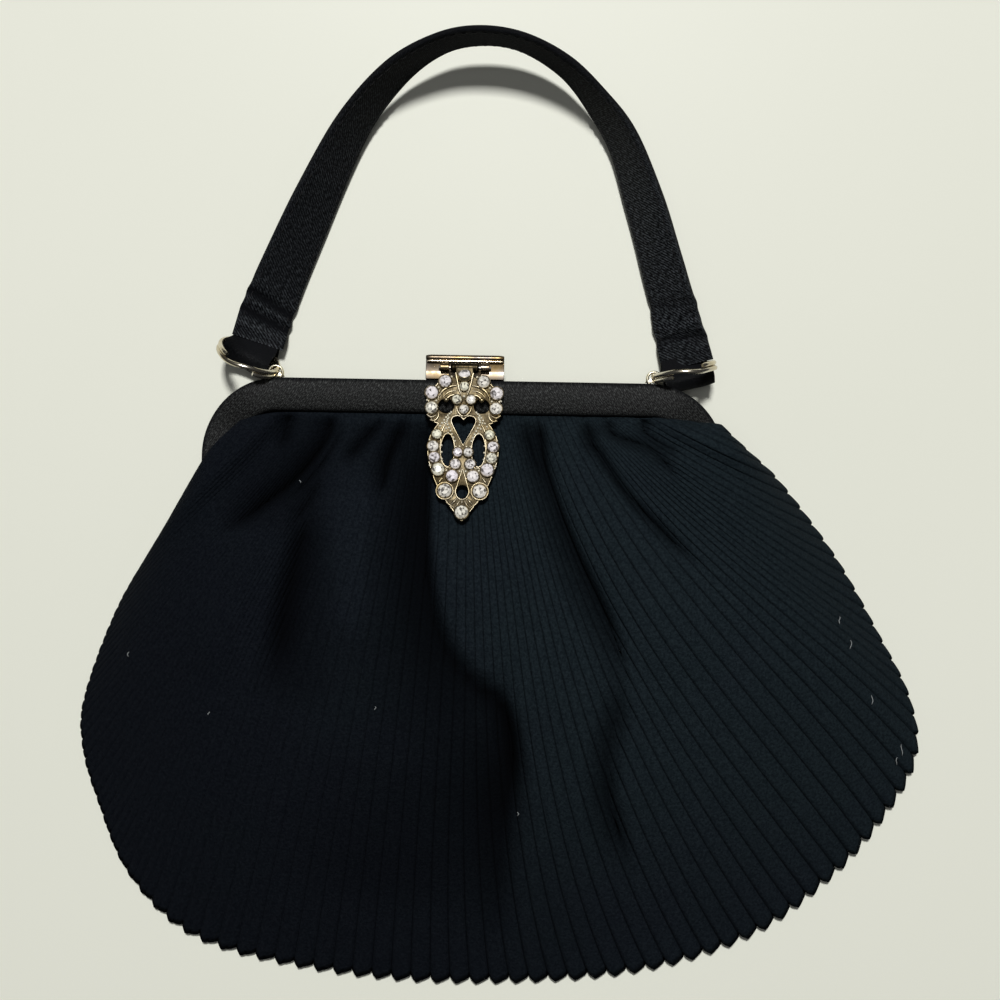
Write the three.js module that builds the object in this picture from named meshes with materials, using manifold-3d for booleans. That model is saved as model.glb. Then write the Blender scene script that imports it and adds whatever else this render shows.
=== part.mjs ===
// Evening bag lying on its back: pleated pouch, covered frame, stone-set clasp lever, strap on two rings.
// Millimetres. X runs along the frame, Y towards the strap, Z up from the table that the bag lies on.
import * as THREE from 'three';
import { mergeVertices } from 'three/addons/utils/BufferGeometryUtils.js';
import Module from 'manifold-3d';

const wasm = await Module();
wasm.setup();

const GAP = 0.3;
const UP = new THREE.Vector3(0, 0, 1);

// The frame is two bars, one over the other, bent down at both ends into short legs
const FRAME = {
  midZ: 8.5,
  topY: 35.5,
  halfLength: 78.5,
  cornerR: 23.4,
  band: 10,
  barHeight: 6,
  legHeight: 2.8,
  legLength: 3,
};

// Pleated pouch: hem height, wall, pleats round the hem and how far they stand up
const POUCH = {
  pleats: 88,
  ridgeAt: 0.7,
  ridge: 1.4,
  tooth: 1.1,
  wall: 1.2,
  hemZ: 3,
  hemSeam: 3.2,
  mouthHalf: 4,
  belly: 16.5,
  leftReach: 60,
  rightReach: 70,
};

// Hem of the pouch from the left leg round the bottom to the right corner
const HEM = [
  { x: -79.4, y: 6.0 },
  { x: -90.4, y: -10.9 },
  { x: -104.0, y: -34.0 },
  { x: -113.9, y: -61.6 },
  { x: -114.5, y: -76.8 },
  { x: -109.6, y: -93.5 },
  { x: -99.6, y: -115.6 },
  { x: -79.1, y: -133.4 },
  { x: -44.5, y: -142.2 },
  { x: 0.0, y: -145.6 },
  { x: 51.7, y: -142.0 },
  { x: 87.7, y: -130.8 },
  { x: 112.1, y: -113.0 },
  { x: 128.5, y: -93.9 },
  { x: 138.3, y: -75.4 },
  { x: 136.6, y: -58.7 },
  { x: 126.6, y: -39.1 },
  { x: 113.4, y: -16.5 },
  { x: 97.0, y: 6.0 },
  { x: 80.0, y: 24.5 },
];

// Folds of the front: a crease from start to end, how deep, how wide on its left and on its right
const FOLDS = [
  { x0: -10, y0: 14, x1: -7, y1: -22, deep: 5.0, left: 13, right: 6 },
  { x0: -7, y0: -22, x1: 13, y1: -58, deep: 5.5, left: 12, right: 6 },
  { x0: 13, y0: -58, x1: 14, y1: -128, deep: 3.0, left: 10, right: 7 },
  { x0: 25, y0: 16, x1: 34, y1: -14, deep: 3.5, left: 8, right: 6 },
  { x0: 34, y0: -14, x1: 47, y1: -52, deep: 5.0, left: 12, right: 6 },
  { x0: 46, y0: -62, x1: 49, y1: -108, deep: 3.0, left: 9, right: 7 },
  { x0: -44, y0: -12, x1: -51, y1: -62, deep: 4.5, left: 8, right: 10 },
  { x0: -41, y0: 16, x1: -64, y1: -8, deep: 3.0, left: 6, right: 6 },
  { x0: -22, y0: 20, x1: -34, y1: 4, deep: 2.5, left: 5, right: 5 },
  { x0: 40, y0: 17, x1: 68, y1: -15, deep: 3.0, left: 6, right: 6 },
  { x0: 0, y0: 16, x1: 0, y1: -6, deep: 1.2, left: 12, right: 12 },
];

// Strap: centre line from the left end to the right end, and how far its outer face looks up.
// The band stands on edge at the top of its arch and leans outwards on both sides, so its inner face shows.
const STRAP = {
  width: 16,
  thick: 2.6,
  loopWidth: 14,
  stations: 30,
};
const STRAP_LINE = [
  { x: -63.1, y: 46.4, z: 6.5, faceUp: -86 },
  { x: -59.2, y: 59.0, z: 5.2, faceUp: -66 },
  { x: -46.4, y: 88.8, z: 7.2, faceUp: -45 },
  { x: -34.5, y: 112.2, z: 10.0, faceUp: -28 },
  { x: -22.2, y: 126.5, z: 14.0, faceUp: -15 },
  { x: -8.9, y: 134.4, z: 17.4, faceUp: -4 },
  { x: 3.4, y: 136.7, z: 18.4, faceUp: 0 },
  { x: 16.2, y: 135.0, z: 17.6, faceUp: 0 },
  { x: 28.7, y: 128.7, z: 14.6, faceUp: -6 },
  { x: 38.7, y: 118.9, z: 11.6, faceUp: -16 },
  { x: 46.4, y: 107.7, z: 9.8, faceUp: -25 },
  { x: 53.0, y: 90.3, z: 8.2, faceUp: -37 },
  { x: 58.4, y: 72.8, z: 7.7, faceUp: -43 },
  { x: 62.1, y: 60.0, z: 7.3, faceUp: -48 },
  { x: 66.0, y: 43.0, z: 6.5, faceUp: -82 },
];

// Split rings, upright in the eyelets; turn is measured from X, lean tips the top away from the strap
const RING = { meanR: 9.2, wireR: 0.6, coilStep: 1.35, sides: 6, stepDeg: 22, centreZ: 12.15 };
const RINGS = [
  { name: 'ring_left', side: -1, turn: 159, lean: 7, lead: 5.0 },
  { name: 'ring_right', side: 1, turn: 14, lean: 0, lead: 3.2 },
];
const LUG = { x: 56.8, y: 38.1, z: 10.9, outerR: 3.4, holeR: 1.95, thick: 1.8 };

// Clasp: plate on the frame's top edge, knuckles and pin in front of it
const PLATE = { halfWidth: 11.7, top: 42.0, back: 4.6, front: 12.4, sheet: 1.2, lipR: 0.9, notch: 4.7 };
const HINGE = { y: 39.2, z: 13.4, barrelR: 1.45, holeR: 0.8, pinR: 0.6, lever: 4.2, knuckle: 7.3, pin: 7.8 };
const LEVER = { tiltDeg: 8, back: 0.6, sheet: 1.6, collet: 0.9, rim: 0.5, seatDrop: 1.0, crown: 1.5, table: 0.58 };

// Right half of the lever's outline, from its top down to its tip, y measured from the hinge
const LEVER_HALF = [
  { x: 4.0, y: -1.8 },
  { x: 7.2, y: -3.4 },
  { x: 9.4, y: -6.4 },
  { x: 11.4, y: -10.4 },
  { x: 11.3, y: -14.4 },
  { x: 9.8, y: -16.4 },
  { x: 8.0, y: -16.6 },
  { x: 7.9, y: -18.2 },
  { x: 9.4, y: -20.6 },
  { x: 10.4, y: -24.0 },
  { x: 10.3, y: -28.0 },
  { x: 9.2, y: -32.6 },
  { x: 7.5, y: -36.2 },
  { x: 7.1, y: -38.6 },
  { x: 4.4, y: -41.4 },
  { x: 2.3, y: -44.2 },
];
const LEVER_TIP = -46.6;

// Openings of the lever: an ellipse each, mirrored where paired
const LEVER_OPENINGS = [
  { x: 5.65, y: -12.4, rx: 1.6, ry: 1.6, paired: true },
  { x: 4.65, y: -25.1, rx: 1.6, ry: 4.6, paired: true },
  { x: 0, y: -37.6, rx: 1.55, ry: 2.2, paired: false },
];
const HEART = { y: -19.0, halfWidth: 3.7, shoulder: 3.4, notch: 2.2, tip: -5.2 };

// Stones of the lever: place from the hinge, radius, tilt back towards the hinge, mirrored where paired
const STONES = [
  { x: 0, y: -2.2, r: 1.8, tilt: 40, paired: false },
  { x: 0, y: -5.9, r: 1.3, tilt: 0, paired: false },
  { x: 5.7, y: -5.0, r: 1.7, tilt: 0, paired: true },
  { x: 9.5, y: -8.2, r: 1.7, tilt: 0, paired: true },
  { x: 9.6, y: -12.8, r: 1.6, tilt: 0, paired: true },
  { x: 2.0, y: -10.2, r: 1.4, tilt: 0, paired: true },
  { x: 0, y: -13.4, r: 1.4, tilt: 0, paired: false },
  { x: 7.9, y: -20.6, r: 1.25, tilt: 0, paired: true },
  { x: 8.5, y: -24.2, r: 1.5, tilt: 0, paired: true },
  { x: 8.3, y: -27.7, r: 1.5, tilt: 0, paired: true },
  { x: 7.1, y: -31.6, r: 1.7, tilt: 0, paired: true },
  { x: 1.75, y: -26.3, r: 1.2, tilt: 0, paired: true },
  { x: 2.1, y: -29.7, r: 1.3, tilt: 0, paired: true },
  { x: 3.0, y: -33.3, r: 1.6, tilt: 0, paired: true },
  { x: 5.1, y: -37.6, r: 1.6, tilt: 0, paired: true },
  { x: 0, y: -44.0, r: 1.7, tilt: 0, paired: false },
];

const CLOTH = { color: 0x0d1012, roughness: 0.85, metalness: 0 };
const SATIN = { color: 0x0b0c10, roughness: 0.45, metalness: 0 };
const SILVER = { color: 0xb8ac96, roughness: 0.3, metalness: 1 };
const STEEL = { color: 0x8f8b84, roughness: 0.35, metalness: 1 };
const STONE = { color: 0xe6e8ea, roughness: 0.05, metalness: 0 };

const root = new THREE.Group();
const bag = new THREE.Group();
const lever = new THREE.Group();
lever.position.set(0, HINGE.y, HINGE.z);
lever.rotation.x = -THREE.MathUtils.degToRad(LEVER.tiltDeg);
root.add(bag);
bag.add(lever);

function addMesh(group, name, geometry, look) {
  const mesh = new THREE.Mesh(geometry, new THREE.MeshStandardMaterial(look));
  mesh.name = name;
  group.add(mesh);
}

function facetGeometry(positions, indices) {
  const geometry = new THREE.BufferGeometry();
  geometry.setAttribute('position', new THREE.Float32BufferAttribute(positions, 3));
  geometry.setIndex(indices);
  return mergeVertices(geometry, 1e-4);
}

// Skin over a row of closed sections with the same number of points, capped at both ends
function loft(sections, cap) {
  const count = sections[0].length;
  const positions = sections.flat().flatMap((p) => [p.x, p.y, p.z]);
  const indices = [];
  for (let s = 0; s + 1 < sections.length; s += 1) {
    for (let k = 0; k < count; k += 1) {
      const a = s * count + k;
      const b = s * count + ((k + 1) % count);
      indices.push(a, b, b + count, a, b + count, a + count);
    }
  }
  const last = (sections.length - 1) * count;
  const againstRing = THREE.ShapeUtils.isClockWise(cap);
  for (const corners of THREE.ShapeUtils.triangulateShape(cap, [])) {
    const [i, j, k] = againstRing ? corners.slice().reverse() : corners;
    indices.push(k, j, i, last + i, last + j, last + k);
  }
  const geometry = facetGeometry(positions, indices);
  return signedVolume(geometry) < 0 ? turnedOut(geometry) : geometry;
}

function signedVolume(geometry) {
  const position = geometry.getAttribute('position');
  const [a, b, c] = [new THREE.Vector3(), new THREE.Vector3(), new THREE.Vector3()];
  let volume = 0;
  for (let i = 0; i < geometry.index.count; i += 3) {
    a.fromBufferAttribute(position, geometry.index.getX(i));
    b.fromBufferAttribute(position, geometry.index.getX(i + 1));
    c.fromBufferAttribute(position, geometry.index.getX(i + 2));
    volume += a.dot(b.cross(c)) / 6;
  }
  return volume;
}

function turnedOut(geometry) {
  const turned = [];
  for (let i = 0; i < geometry.index.count; i += 3) {
    turned.push(geometry.index.getX(i), geometry.index.getX(i + 2), geometry.index.getX(i + 1));
  }
  geometry.setIndex(turned);
  return geometry;
}

function toSolid(geometry) {
  const bare = geometry.clone();
  bare.deleteAttribute('normal');
  bare.deleteAttribute('uv');
  const merged = mergeVertices(bare, 1e-4);
  return new wasm.Manifold(new wasm.Mesh({
    numProp: 3,
    vertProperties: new Float32Array(merged.getAttribute('position').array),
    triVerts: new Uint32Array(merged.index.array),
  }));
}

function toGeometry(solid) {
  const mesh = solid.getMesh();
  const geometry = new THREE.BufferGeometry();
  geometry.setAttribute('position', new THREE.BufferAttribute(new Float32Array(mesh.vertProperties), 3));
  geometry.setIndex(new THREE.BufferAttribute(new Uint32Array(mesh.triVerts), 1));
  return geometry;
}

function boxSolid(x0, x1, y0, y1, z0, z1) {
  const box = new THREE.BoxGeometry(x1 - x0, y1 - y0, z1 - z0);
  return toSolid(box.translate((x0 + x1) / 2, (y0 + y1) / 2, (z0 + z1) / 2));
}

// Round bar along X between two places
function barSolid(radius, x0, x1, y, z, sides) {
  const bar = new THREE.CylinderGeometry(radius, radius, x1 - x0, sides);
  return toSolid(bar.rotateZ(Math.PI / 2).translate((x0 + x1) / 2, y, z));
}

function flatShape(points) {
  return new THREE.Shape(points.map((p) => new THREE.Vector2(p.x, p.y)));
}

function oval(x, y, rx, ry, sides) {
  const points = [];
  for (let k = 0; k < sides; k += 1) {
    const angle = (2 * Math.PI * k) / sides;
    points.push(new THREE.Vector2(x + rx * Math.cos(angle), y + ry * Math.sin(angle)));
  }
  return points;
}

// Flat outline drawn in X and Y, raised from one height to another
function prismSolid(points, low, high) {
  const prism = new THREE.ExtrudeGeometry(flatShape(points), { depth: high - low, bevelEnabled: false });
  return toSolid(prism.translate(0, 0, low));
}

function smooth(from, to, value) {
  return THREE.MathUtils.smoothstep(value, from, to);
}

// Frame: outer edge by distance from the middle, and the bar's height there
const STRAIGHT = FRAME.halfLength - FRAME.cornerR;
const CORNER = (FRAME.cornerR * Math.PI) / 2;
const EDGE_END = STRAIGHT + CORNER + FRAME.legLength;

function frameEdge(distance) {
  const side = Math.sign(distance);
  const run = Math.abs(distance);
  const angle = THREE.MathUtils.clamp((run - STRAIGHT) / FRAME.cornerR, 0, Math.PI / 2);
  const leg = Math.max(0, run - STRAIGHT - CORNER);
  const flat = Math.min(run, STRAIGHT);
  return {
    x: side * (flat + FRAME.cornerR * Math.sin(angle)),
    y: FRAME.topY - FRAME.cornerR * (1 - Math.cos(angle)) - leg,
    inX: -side * Math.sin(angle),
    inY: -Math.cos(angle),
    height: THREE.MathUtils.lerp(FRAME.barHeight, FRAME.legHeight, smooth(0.35, 1.2, angle)),
  };
}

// Section of a bar: how far in from the outer edge, and the share of the bar's height
const BAR_SECTION = [
  { inward: 0.5, rise: 0 },
  { inward: 0, rise: 0.2 },
  { inward: 0, rise: 0.75 },
  { inward: 1.4, rise: 0.95 },
  { inward: 5, rise: 1 },
  { inward: 8.6, rise: 0.95 },
  { inward: 10, rise: 0.75 },
  { inward: 10, rise: 0.2 },
  { inward: 9.5, rise: 0 },
];

function frameBar(facing) {
  const distances = [EDGE_END];
  for (let k = 7; k >= 0; k -= 1) {
    distances.push(STRAIGHT + (CORNER * k) / 7);
  }
  const stations = [...distances.map((d) => -d), ...distances.slice().reverse()];
  const sections = stations.map((distance) => {
    const edge = frameEdge(distance);
    return BAR_SECTION.map(({ inward, rise }) => new THREE.Vector3(
      edge.x + edge.inX * inward,
      edge.y + edge.inY * inward,
      FRAME.midZ + facing * (GAP / 2 + (edge.height - GAP / 2) * rise),
    ));
  });
  return loft(sections, BAR_SECTION.map((p) => new THREE.Vector2(p.inward, p.rise)));
}
addMesh(bag, 'frame_front', frameBar(1), SATIN);
addMesh(bag, 'frame_back', frameBar(-1), SATIN);

for (const [name, side] of [['hinge_pin_left', -1], ['hinge_pin_right', 1]]) {
  const edge = frameEdge(EDGE_END);
  const pin = new THREE.CylinderGeometry(1.3, 1.3, 4, 10);
  pin.rotateZ(Math.PI / 2).translate(side * (edge.x - FRAME.band + 3), edge.y - GAP - 1.3, FRAME.midZ);
  addMesh(bag, name, pin, STEEL);
}

// Pouch: each pleat line runs from the frame's lower edge to the hem
const hemCurve = new THREE.CatmullRomCurve3(
  HEM.map((p) => new THREE.Vector3(p.x, p.y, 0)), false, 'catmullrom', 0.5);
hemCurve.arcLengthDivisions = 800;

function shareAtMiddle() {
  let [low, high] = [0, 1];
  for (let k = 0; k < 40; k += 1) {
    const mid = (low + high) / 2;
    [low, high] = hemCurve.getPointAt(mid).x < 0 ? [mid, high] : [low, mid];
  }
  return low;
}
const MIDDLE = shareAtMiddle();

function pleatLine(share) {
  const spread = share < MIDDLE ? (share - MIDDLE) / MIDDLE : (share - MIDDLE) / (1 - MIDDLE);
  const reach = spread < 0 ? POUCH.leftReach : POUCH.rightReach;
  const x = Math.sign(spread) * reach * Math.abs(spread) ** 1.5;
  const innerR = FRAME.cornerR - FRAME.band;
  const past = Math.max(0, Math.abs(x) - STRAIGHT);
  const dip = x < 0 ? innerR - Math.sqrt(innerR ** 2 - past ** 2) : 0;
  const start = new THREE.Vector2(x, FRAME.topY - FRAME.band - GAP - dip);
  const hem = hemCurve.getPointAt(share);
  const end = new THREE.Vector2(hem.x, hem.y);
  const length = start.distanceTo(end);
  const [leave, arrive] = [0.5 * spread, 1.3 * spread];
  const handle = 0.35 * length;
  const out = new THREE.Vector2(Math.sin(leave), -Math.cos(leave)).multiplyScalar(handle).add(start);
  const back = new THREE.Vector2(-Math.sin(arrive), Math.cos(arrive)).multiplyScalar(handle).add(end);
  const curve = new THREE.CubicBezierCurve(start, out, back, end);
  const over = smooth(50, 57, Math.abs(x));
  return { spread, length, curve, over };
}

function foldDepth(x, y) {
  let depth = 0;
  for (const fold of FOLDS) {
    const [runX, runY] = [fold.x1 - fold.x0, fold.y1 - fold.y0];
    const run = Math.hypot(runX, runY);
    const along = ((x - fold.x0) * runX + (y - fold.y0) * runY) / run ** 2;
    const aside = ((x - fold.x0) * runY - (y - fold.y0) * runX) / run;
    const past = Math.max(0, -along, along - 1) * run;
    const width = aside > 0 ? fold.left : fold.right;
    depth += fold.deep * Math.exp(-((aside / width) ** 2) - (past / 9) ** 2);
  }
  return depth;
}

function frontHeight(line, v) {
  const start = FRAME.midZ + THREE.MathUtils.lerp(POUCH.mouthHalf, FRAME.barHeight + 1.6, line.over);
  const power = 2 + 6 * Math.abs(line.spread) ** 6;
  const belly = POUCH.belly * Math.min(1, line.length / 150) ** 0.6;
  const rise = start + (POUCH.hemZ - start) * v ** power + belly * Math.sin(Math.PI * v ** 1.15);
  const place = line.curve.getPoint(v);
  const fade = smooth(0, 0.16, v) * (1 - smooth(0.86, 1, v));
  return rise - fade * foldDepth(place.x, place.y);
}

function backHeight(line, v) {
  const start = FRAME.midZ - THREE.MathUtils.lerp(POUCH.mouthHalf, FRAME.barHeight + 1.6, line.over);
  return start * (1 - smooth(0, 0.25, v)) + POUCH.hemZ * smooth(0.8, 1, v);
}

const FRONT_ROWS = [0, 0.07, 0.2, 0.36, 0.56, 0.8, 1];
const BACK_ROWS = [0, 0.1, 0.25, 0.8, 1];

function panel(rows, height, facing, inside) {
  const columns = [];
  for (let pleat = 0; pleat <= POUCH.pleats; pleat += 1) {
    for (const ridge of inside || pleat === POUCH.pleats ? [0] : [0, 1]) {
      columns.push({ share: (pleat + ridge * POUCH.ridgeAt) / POUCH.pleats, ridge });
    }
  }
  return columns.map(({ share, ridge }) => {
    const line = pleatLine(share);
    return rows.map((v) => {
      const atHem = v === 1;
      const seam = Math.min(POUCH.hemSeam, 0.25 * line.length) / line.length;
      const place = line.curve.getPoint(inside && atHem ? 1 - seam : v);
      const flatBack = facing < 0 && v > 0 ? 0 : 1;
      let z = atHem ? POUCH.hemZ : height(line, v);
      if (inside) {
        z -= atHem ? 0 : facing * POUCH.wall;
      } else if (ridge) {
        z += atHem ? 0 : flatBack * facing * POUCH.ridge * (0.2 + 0.8 * smooth(0, 0.16, v));
        if (atHem) {
          place.addScaledVector(line.curve.getTangent(1), POUCH.tooth);
        }
      }
      return new THREE.Vector3(place.x, place.y, z);
    });
  });
}

// Open edge of the pouch in four runs: front, right side, back, left side
function rimRuns(front, back) {
  const downRight = [...front.at(-1), ...back.at(-1).slice(0, -1).reverse()];
  const downLeft = [...back[0], ...front[0].slice(0, -1).reverse()];
  const alongFront = front.map((column) => column[0]);
  const alongBack = back.map((column) => column[0]).reverse();
  return [alongFront, downRight, alongBack, downLeft];
}

function pouchGeometry() {
  const outerFront = panel(FRONT_ROWS, frontHeight, 1, false);
  const outerBack = panel(BACK_ROWS, backHeight, -1, false);
  const innerFront = panel(FRONT_ROWS, frontHeight, 1, true);
  const innerBack = panel(BACK_ROWS, backHeight, -1, true);
  const positions = [];
  const indices = [];
  const facet = (...corners) => corners.forEach((p) => {
    indices.push(positions.length / 3);
    positions.push(p.x, p.y, p.z);
  });
  const skin = (grid, flipped) => {
    for (let i = 0; i + 1 < grid.length; i += 1) {
      for (let j = 0; j + 1 < grid[0].length; j += 1) {
        const [a, b, c, d] = [grid[i][j], grid[i + 1][j], grid[i + 1][j + 1], grid[i][j + 1]];
        if (flipped) {
          facet(a, c, d);
          facet(a, b, c);
        } else {
          facet(a, d, c);
          facet(a, c, b);
        }
      }
    }
  };
  skin(outerFront, false);
  skin(outerBack, true);
  skin(innerFront, true);
  skin(innerBack, false);
  const innerRuns = rimRuns(innerFront, innerBack);
  rimRuns(outerFront, outerBack).forEach((outer, run) => {
    const inner = innerRuns[run];
    let [k, m] = [0, 0];
    while (k + 1 < outer.length || m + 1 < inner.length) {
      const outerNext = (k + 1) / (outer.length - 1);
      const innerNext = (m + 1) / (inner.length - 1);
      if (m + 1 >= inner.length || (k + 1 < outer.length && outerNext <= innerNext)) {
        facet(outer[k], outer[k + 1], inner[m]);
        k += 1;
      } else {
        facet(outer[k], inner[m + 1], inner[m]);
        m += 1;
      }
    }
  });
  return facetGeometry(positions, indices);
}
addMesh(bag, 'pouch', pouchGeometry(), CLOTH);

// Eyelets on the top edge, split rings through them
for (const [name, side] of [['strap_lug_left', -1], ['strap_lug_right', 1]]) {
  const [x, foot] = [side * LUG.x, FRAME.topY + GAP];
  const [low, high] = [LUG.z - LUG.thick / 2, LUG.z + LUG.thick / 2];
  const crown = oval(x, LUG.y, LUG.outerR, LUG.outerR, 20).slice(0, 11);
  const outline = [{ x: x - LUG.outerR, y: foot }, { x: x + LUG.outerR, y: foot }, ...crown];
  const hole = prismSolid(oval(x, LUG.y, LUG.holeR, LUG.holeR, 12), low - 1, high + 1);
  addMesh(bag, name, toGeometry(prismSolid(outline, low, high).subtract(hole)), SILVER);
}

function ringCentre(ring) {
  const turn = THREE.MathUtils.degToRad(ring.turn);
  const drop = RING.centreZ - LUG.z;
  const reach = Math.sqrt(RING.meanR ** 2 - drop ** 2);
  return new THREE.Vector3(
    ring.side * LUG.x + reach * Math.cos(turn), LUG.y + reach * Math.sin(turn), RING.centreZ);
}

// Axes of a ring: across it, up it, and through it towards the strap
function ringAxes(ring) {
  const turn = THREE.MathUtils.degToRad(ring.turn);
  const lean = THREE.MathUtils.degToRad(ring.lean);
  const across = new THREE.Vector3(Math.cos(turn), Math.sin(turn), 0);
  const toStrap = new THREE.Vector3(-across.y, across.x, 0).multiplyScalar(ring.side);
  const up = UP.clone().multiplyScalar(Math.cos(lean)).addScaledVector(toStrap, -Math.sin(lean));
  const through = toStrap.clone().multiplyScalar(Math.cos(lean)).addScaledVector(UP, Math.sin(lean));
  return { across, toStrap, up, through };
}

for (const ring of RINGS) {
  const centre = ringCentre(ring);
  const { across, up, through } = ringAxes(ring);
  const sections = [];
  for (let turn = -300; turn <= 360; turn += RING.stepDeg) {
    const angle = THREE.MathUtils.degToRad(turn + 60);
    const shift = RING.coilStep * (smooth(0, 60, turn) - 0.5);
    const radial = across.clone().multiplyScalar(Math.cos(angle)).addScaledVector(up, Math.sin(angle));
    const middle = centre.clone().addScaledVector(radial, RING.meanR).addScaledVector(through, shift);
    sections.push(oval(0, 0, RING.wireR, RING.wireR, RING.sides)
      .map((p) => middle.clone().addScaledVector(radial, p.x).addScaledVector(through, p.y)));
  }
  addMesh(bag, ring.name, loft(sections, oval(0, 0, 1, 1, RING.sides)), SILVER);
}

// Strap: flat band whose lean changes along its length, with a thin loop round each ring
const BAND_SECTION = [
  { across: -8, out: -0.5 },
  { across: -7.2, out: -1.3 },
  { across: 7.2, out: -1.3 },
  { across: 8, out: -0.5 },
  { across: 8, out: 0.5 },
  { across: 7.2, out: 1.3 },
  { across: -7.2, out: 1.3 },
  { across: -8, out: 0.5 },
];

function strapBand() {
  const line = new THREE.CatmullRomCurve3(STRAP_LINE.map((p) => new THREE.Vector3(p.x, p.y, p.z)));
  const sections = [];
  for (let s = 0; s <= STRAP.stations; s += 1) {
    const share = s / STRAP.stations;
    const middle = line.getPoint(share);
    const along = line.getTangent(share);
    const slot = Math.min(Math.floor(share * (STRAP_LINE.length - 1)), STRAP_LINE.length - 2);
    const part = share * (STRAP_LINE.length - 1) - slot;
    const tilt = THREE.MathUtils.degToRad(
      THREE.MathUtils.lerp(STRAP_LINE[slot].faceUp, STRAP_LINE[slot + 1].faceUp, part));
    const outward = new THREE.Vector3(-along.y, along.x, 0).normalize();
    const face = outward.multiplyScalar(Math.cos(tilt)).addScaledVector(UP, Math.sin(tilt));
    const across = new THREE.Vector3().crossVectors(along, face).normalize();
    sections.push(BAND_SECTION.map((p) => middle.clone().addScaledVector(across, p.across)
      .addScaledVector(face, p.out)));
  }
  return toSolid(loft(sections, BAND_SECTION.map((p) => new THREE.Vector2(p.across, p.out))));
}

// Side view of a loop: away is measured from the ring's lowest point, away from the strap
const LOOP_INSIDE = [
  { away: -2.7, z: 5.2 },
  { away: -2.0, z: 2.6 },
  { away: -1.1, z: 1.6 },
  { away: 1.0, z: 1.6 },
  { away: 1.9, z: 2.6 },
  { away: 2.4, z: 5.2 },
  { away: 1.9, z: 7.6 },
  { away: 0.6, z: 8.5 },
  { away: -1.6, z: 8.2 },
];
const LOOP_OUTSIDE = [
  { away: -2.8, z: 1.7 },
  { away: -1.3, z: 0.6 },
  { away: 1.2, z: 0.6 },
  { away: 2.7, z: 2.0 },
  { away: 3.3, z: 5.2 },
  { away: 2.6, z: 8.2 },
  { away: 0.8, z: 9.5 },
  { away: -1.8, z: 9.3 },
];

function loopSolid(ring) {
  const { toStrap, up } = ringAxes(ring);
  const lowest = ringCentre(ring).addScaledVector(up, -RING.meanR);
  const neck = [
    { away: -ring.lead, z: 7.6 },
    { away: -ring.lead - 3, z: 7.4 },
    { away: -ring.lead - 3, z: 5.6 },
    { away: -ring.lead - 0.6, z: 4.6 },
  ];
  const asPoints = (rows) => rows.map((row) => ({ x: row.away, y: row.z }));
  const solid = prismSolid(asPoints([...LOOP_OUTSIDE, ...neck]), 0, STRAP.loopWidth)
    .subtract(prismSolid(asPoints(LOOP_INSIDE), -1, STRAP.loopWidth + 1));
  const side = toGeometry(solid);
  const away = toStrap.clone().negate();
  const sideways = new THREE.Vector3().crossVectors(away, UP);
  const origin = new THREE.Vector3(lowest.x, lowest.y, 0).addScaledVector(sideways, -STRAP.loopWidth / 2);
  side.applyMatrix4(new THREE.Matrix4().makeBasis(away, UP, sideways).setPosition(origin));
  return toSolid(side);
}
const strapSolid = RINGS.reduce((solid, ring) => solid.add(loopSolid(ring)), strapBand());
addMesh(bag, 'strap', toGeometry(strapSolid), SATIN);

// Clasp plate, knuckles and pin
function plateSolid() {
  const foot = FRAME.topY + GAP;
  const inner = PLATE.front - PLATE.sheet;
  const half = PLATE.halfWidth;
  let solid = boxSolid(-half, half, foot, PLATE.top, inner, PLATE.front);
  solid = solid.add(boxSolid(-half, half, foot, foot + PLATE.sheet, PLATE.back, PLATE.front));
  solid = solid.add(barSolid(PLATE.lipR, -half, half, PLATE.top + 0.2, PLATE.front - 0.2, 10));
  for (const side of [-1, 1]) {
    const [x0, x1] = [side * half, side * (half - PLATE.sheet)].sort((a, b) => a - b);
    solid = solid.add(boxSolid(x0, x1, foot, foot + 4.5, PLATE.back + 2, PLATE.front));
    const ends = [side * PLATE.notch, side * HINGE.knuckle].sort((a, b) => a - b);
    solid = solid.add(barSolid(HINGE.barrelR, ends[0], ends[1], HINGE.y, HINGE.z, 12));
  }
  solid = solid.subtract(
    boxSolid(-PLATE.notch, PLATE.notch, foot + PLATE.sheet + 0.3, PLATE.top - 0.8, inner - 1, PLATE.front + 1));
  return solid.subtract(barSolid(HINGE.holeR, -HINGE.pin, HINGE.pin, HINGE.y, HINGE.z, 12));
}
addMesh(bag, 'clasp_plate', toGeometry(plateSolid()), SILVER);
addMesh(bag, 'clasp_pin', new THREE.CylinderGeometry(HINGE.pinR, HINGE.pinR, 2 * HINGE.pin, 10)
  .rotateZ(Math.PI / 2).translate(0, HINGE.y, HINGE.z), STEEL);

// Clasp lever in its own frame: hinge at the origin, plate towards the tip, stones on its upper side
const stoneSpots = STONES.flatMap((s) => (s.paired ? [{ ...s, x: -s.x }, s] : [s]));

function onSpot(geometry, spot, height) {
  const top = LEVER.back + LEVER.sheet + LEVER.collet;
  return geometry.rotateX(Math.PI / 2).translate(0, 0, height)
    .rotateX(-THREE.MathUtils.degToRad(spot.tilt)).translate(spot.x, spot.y, top);
}

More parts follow.
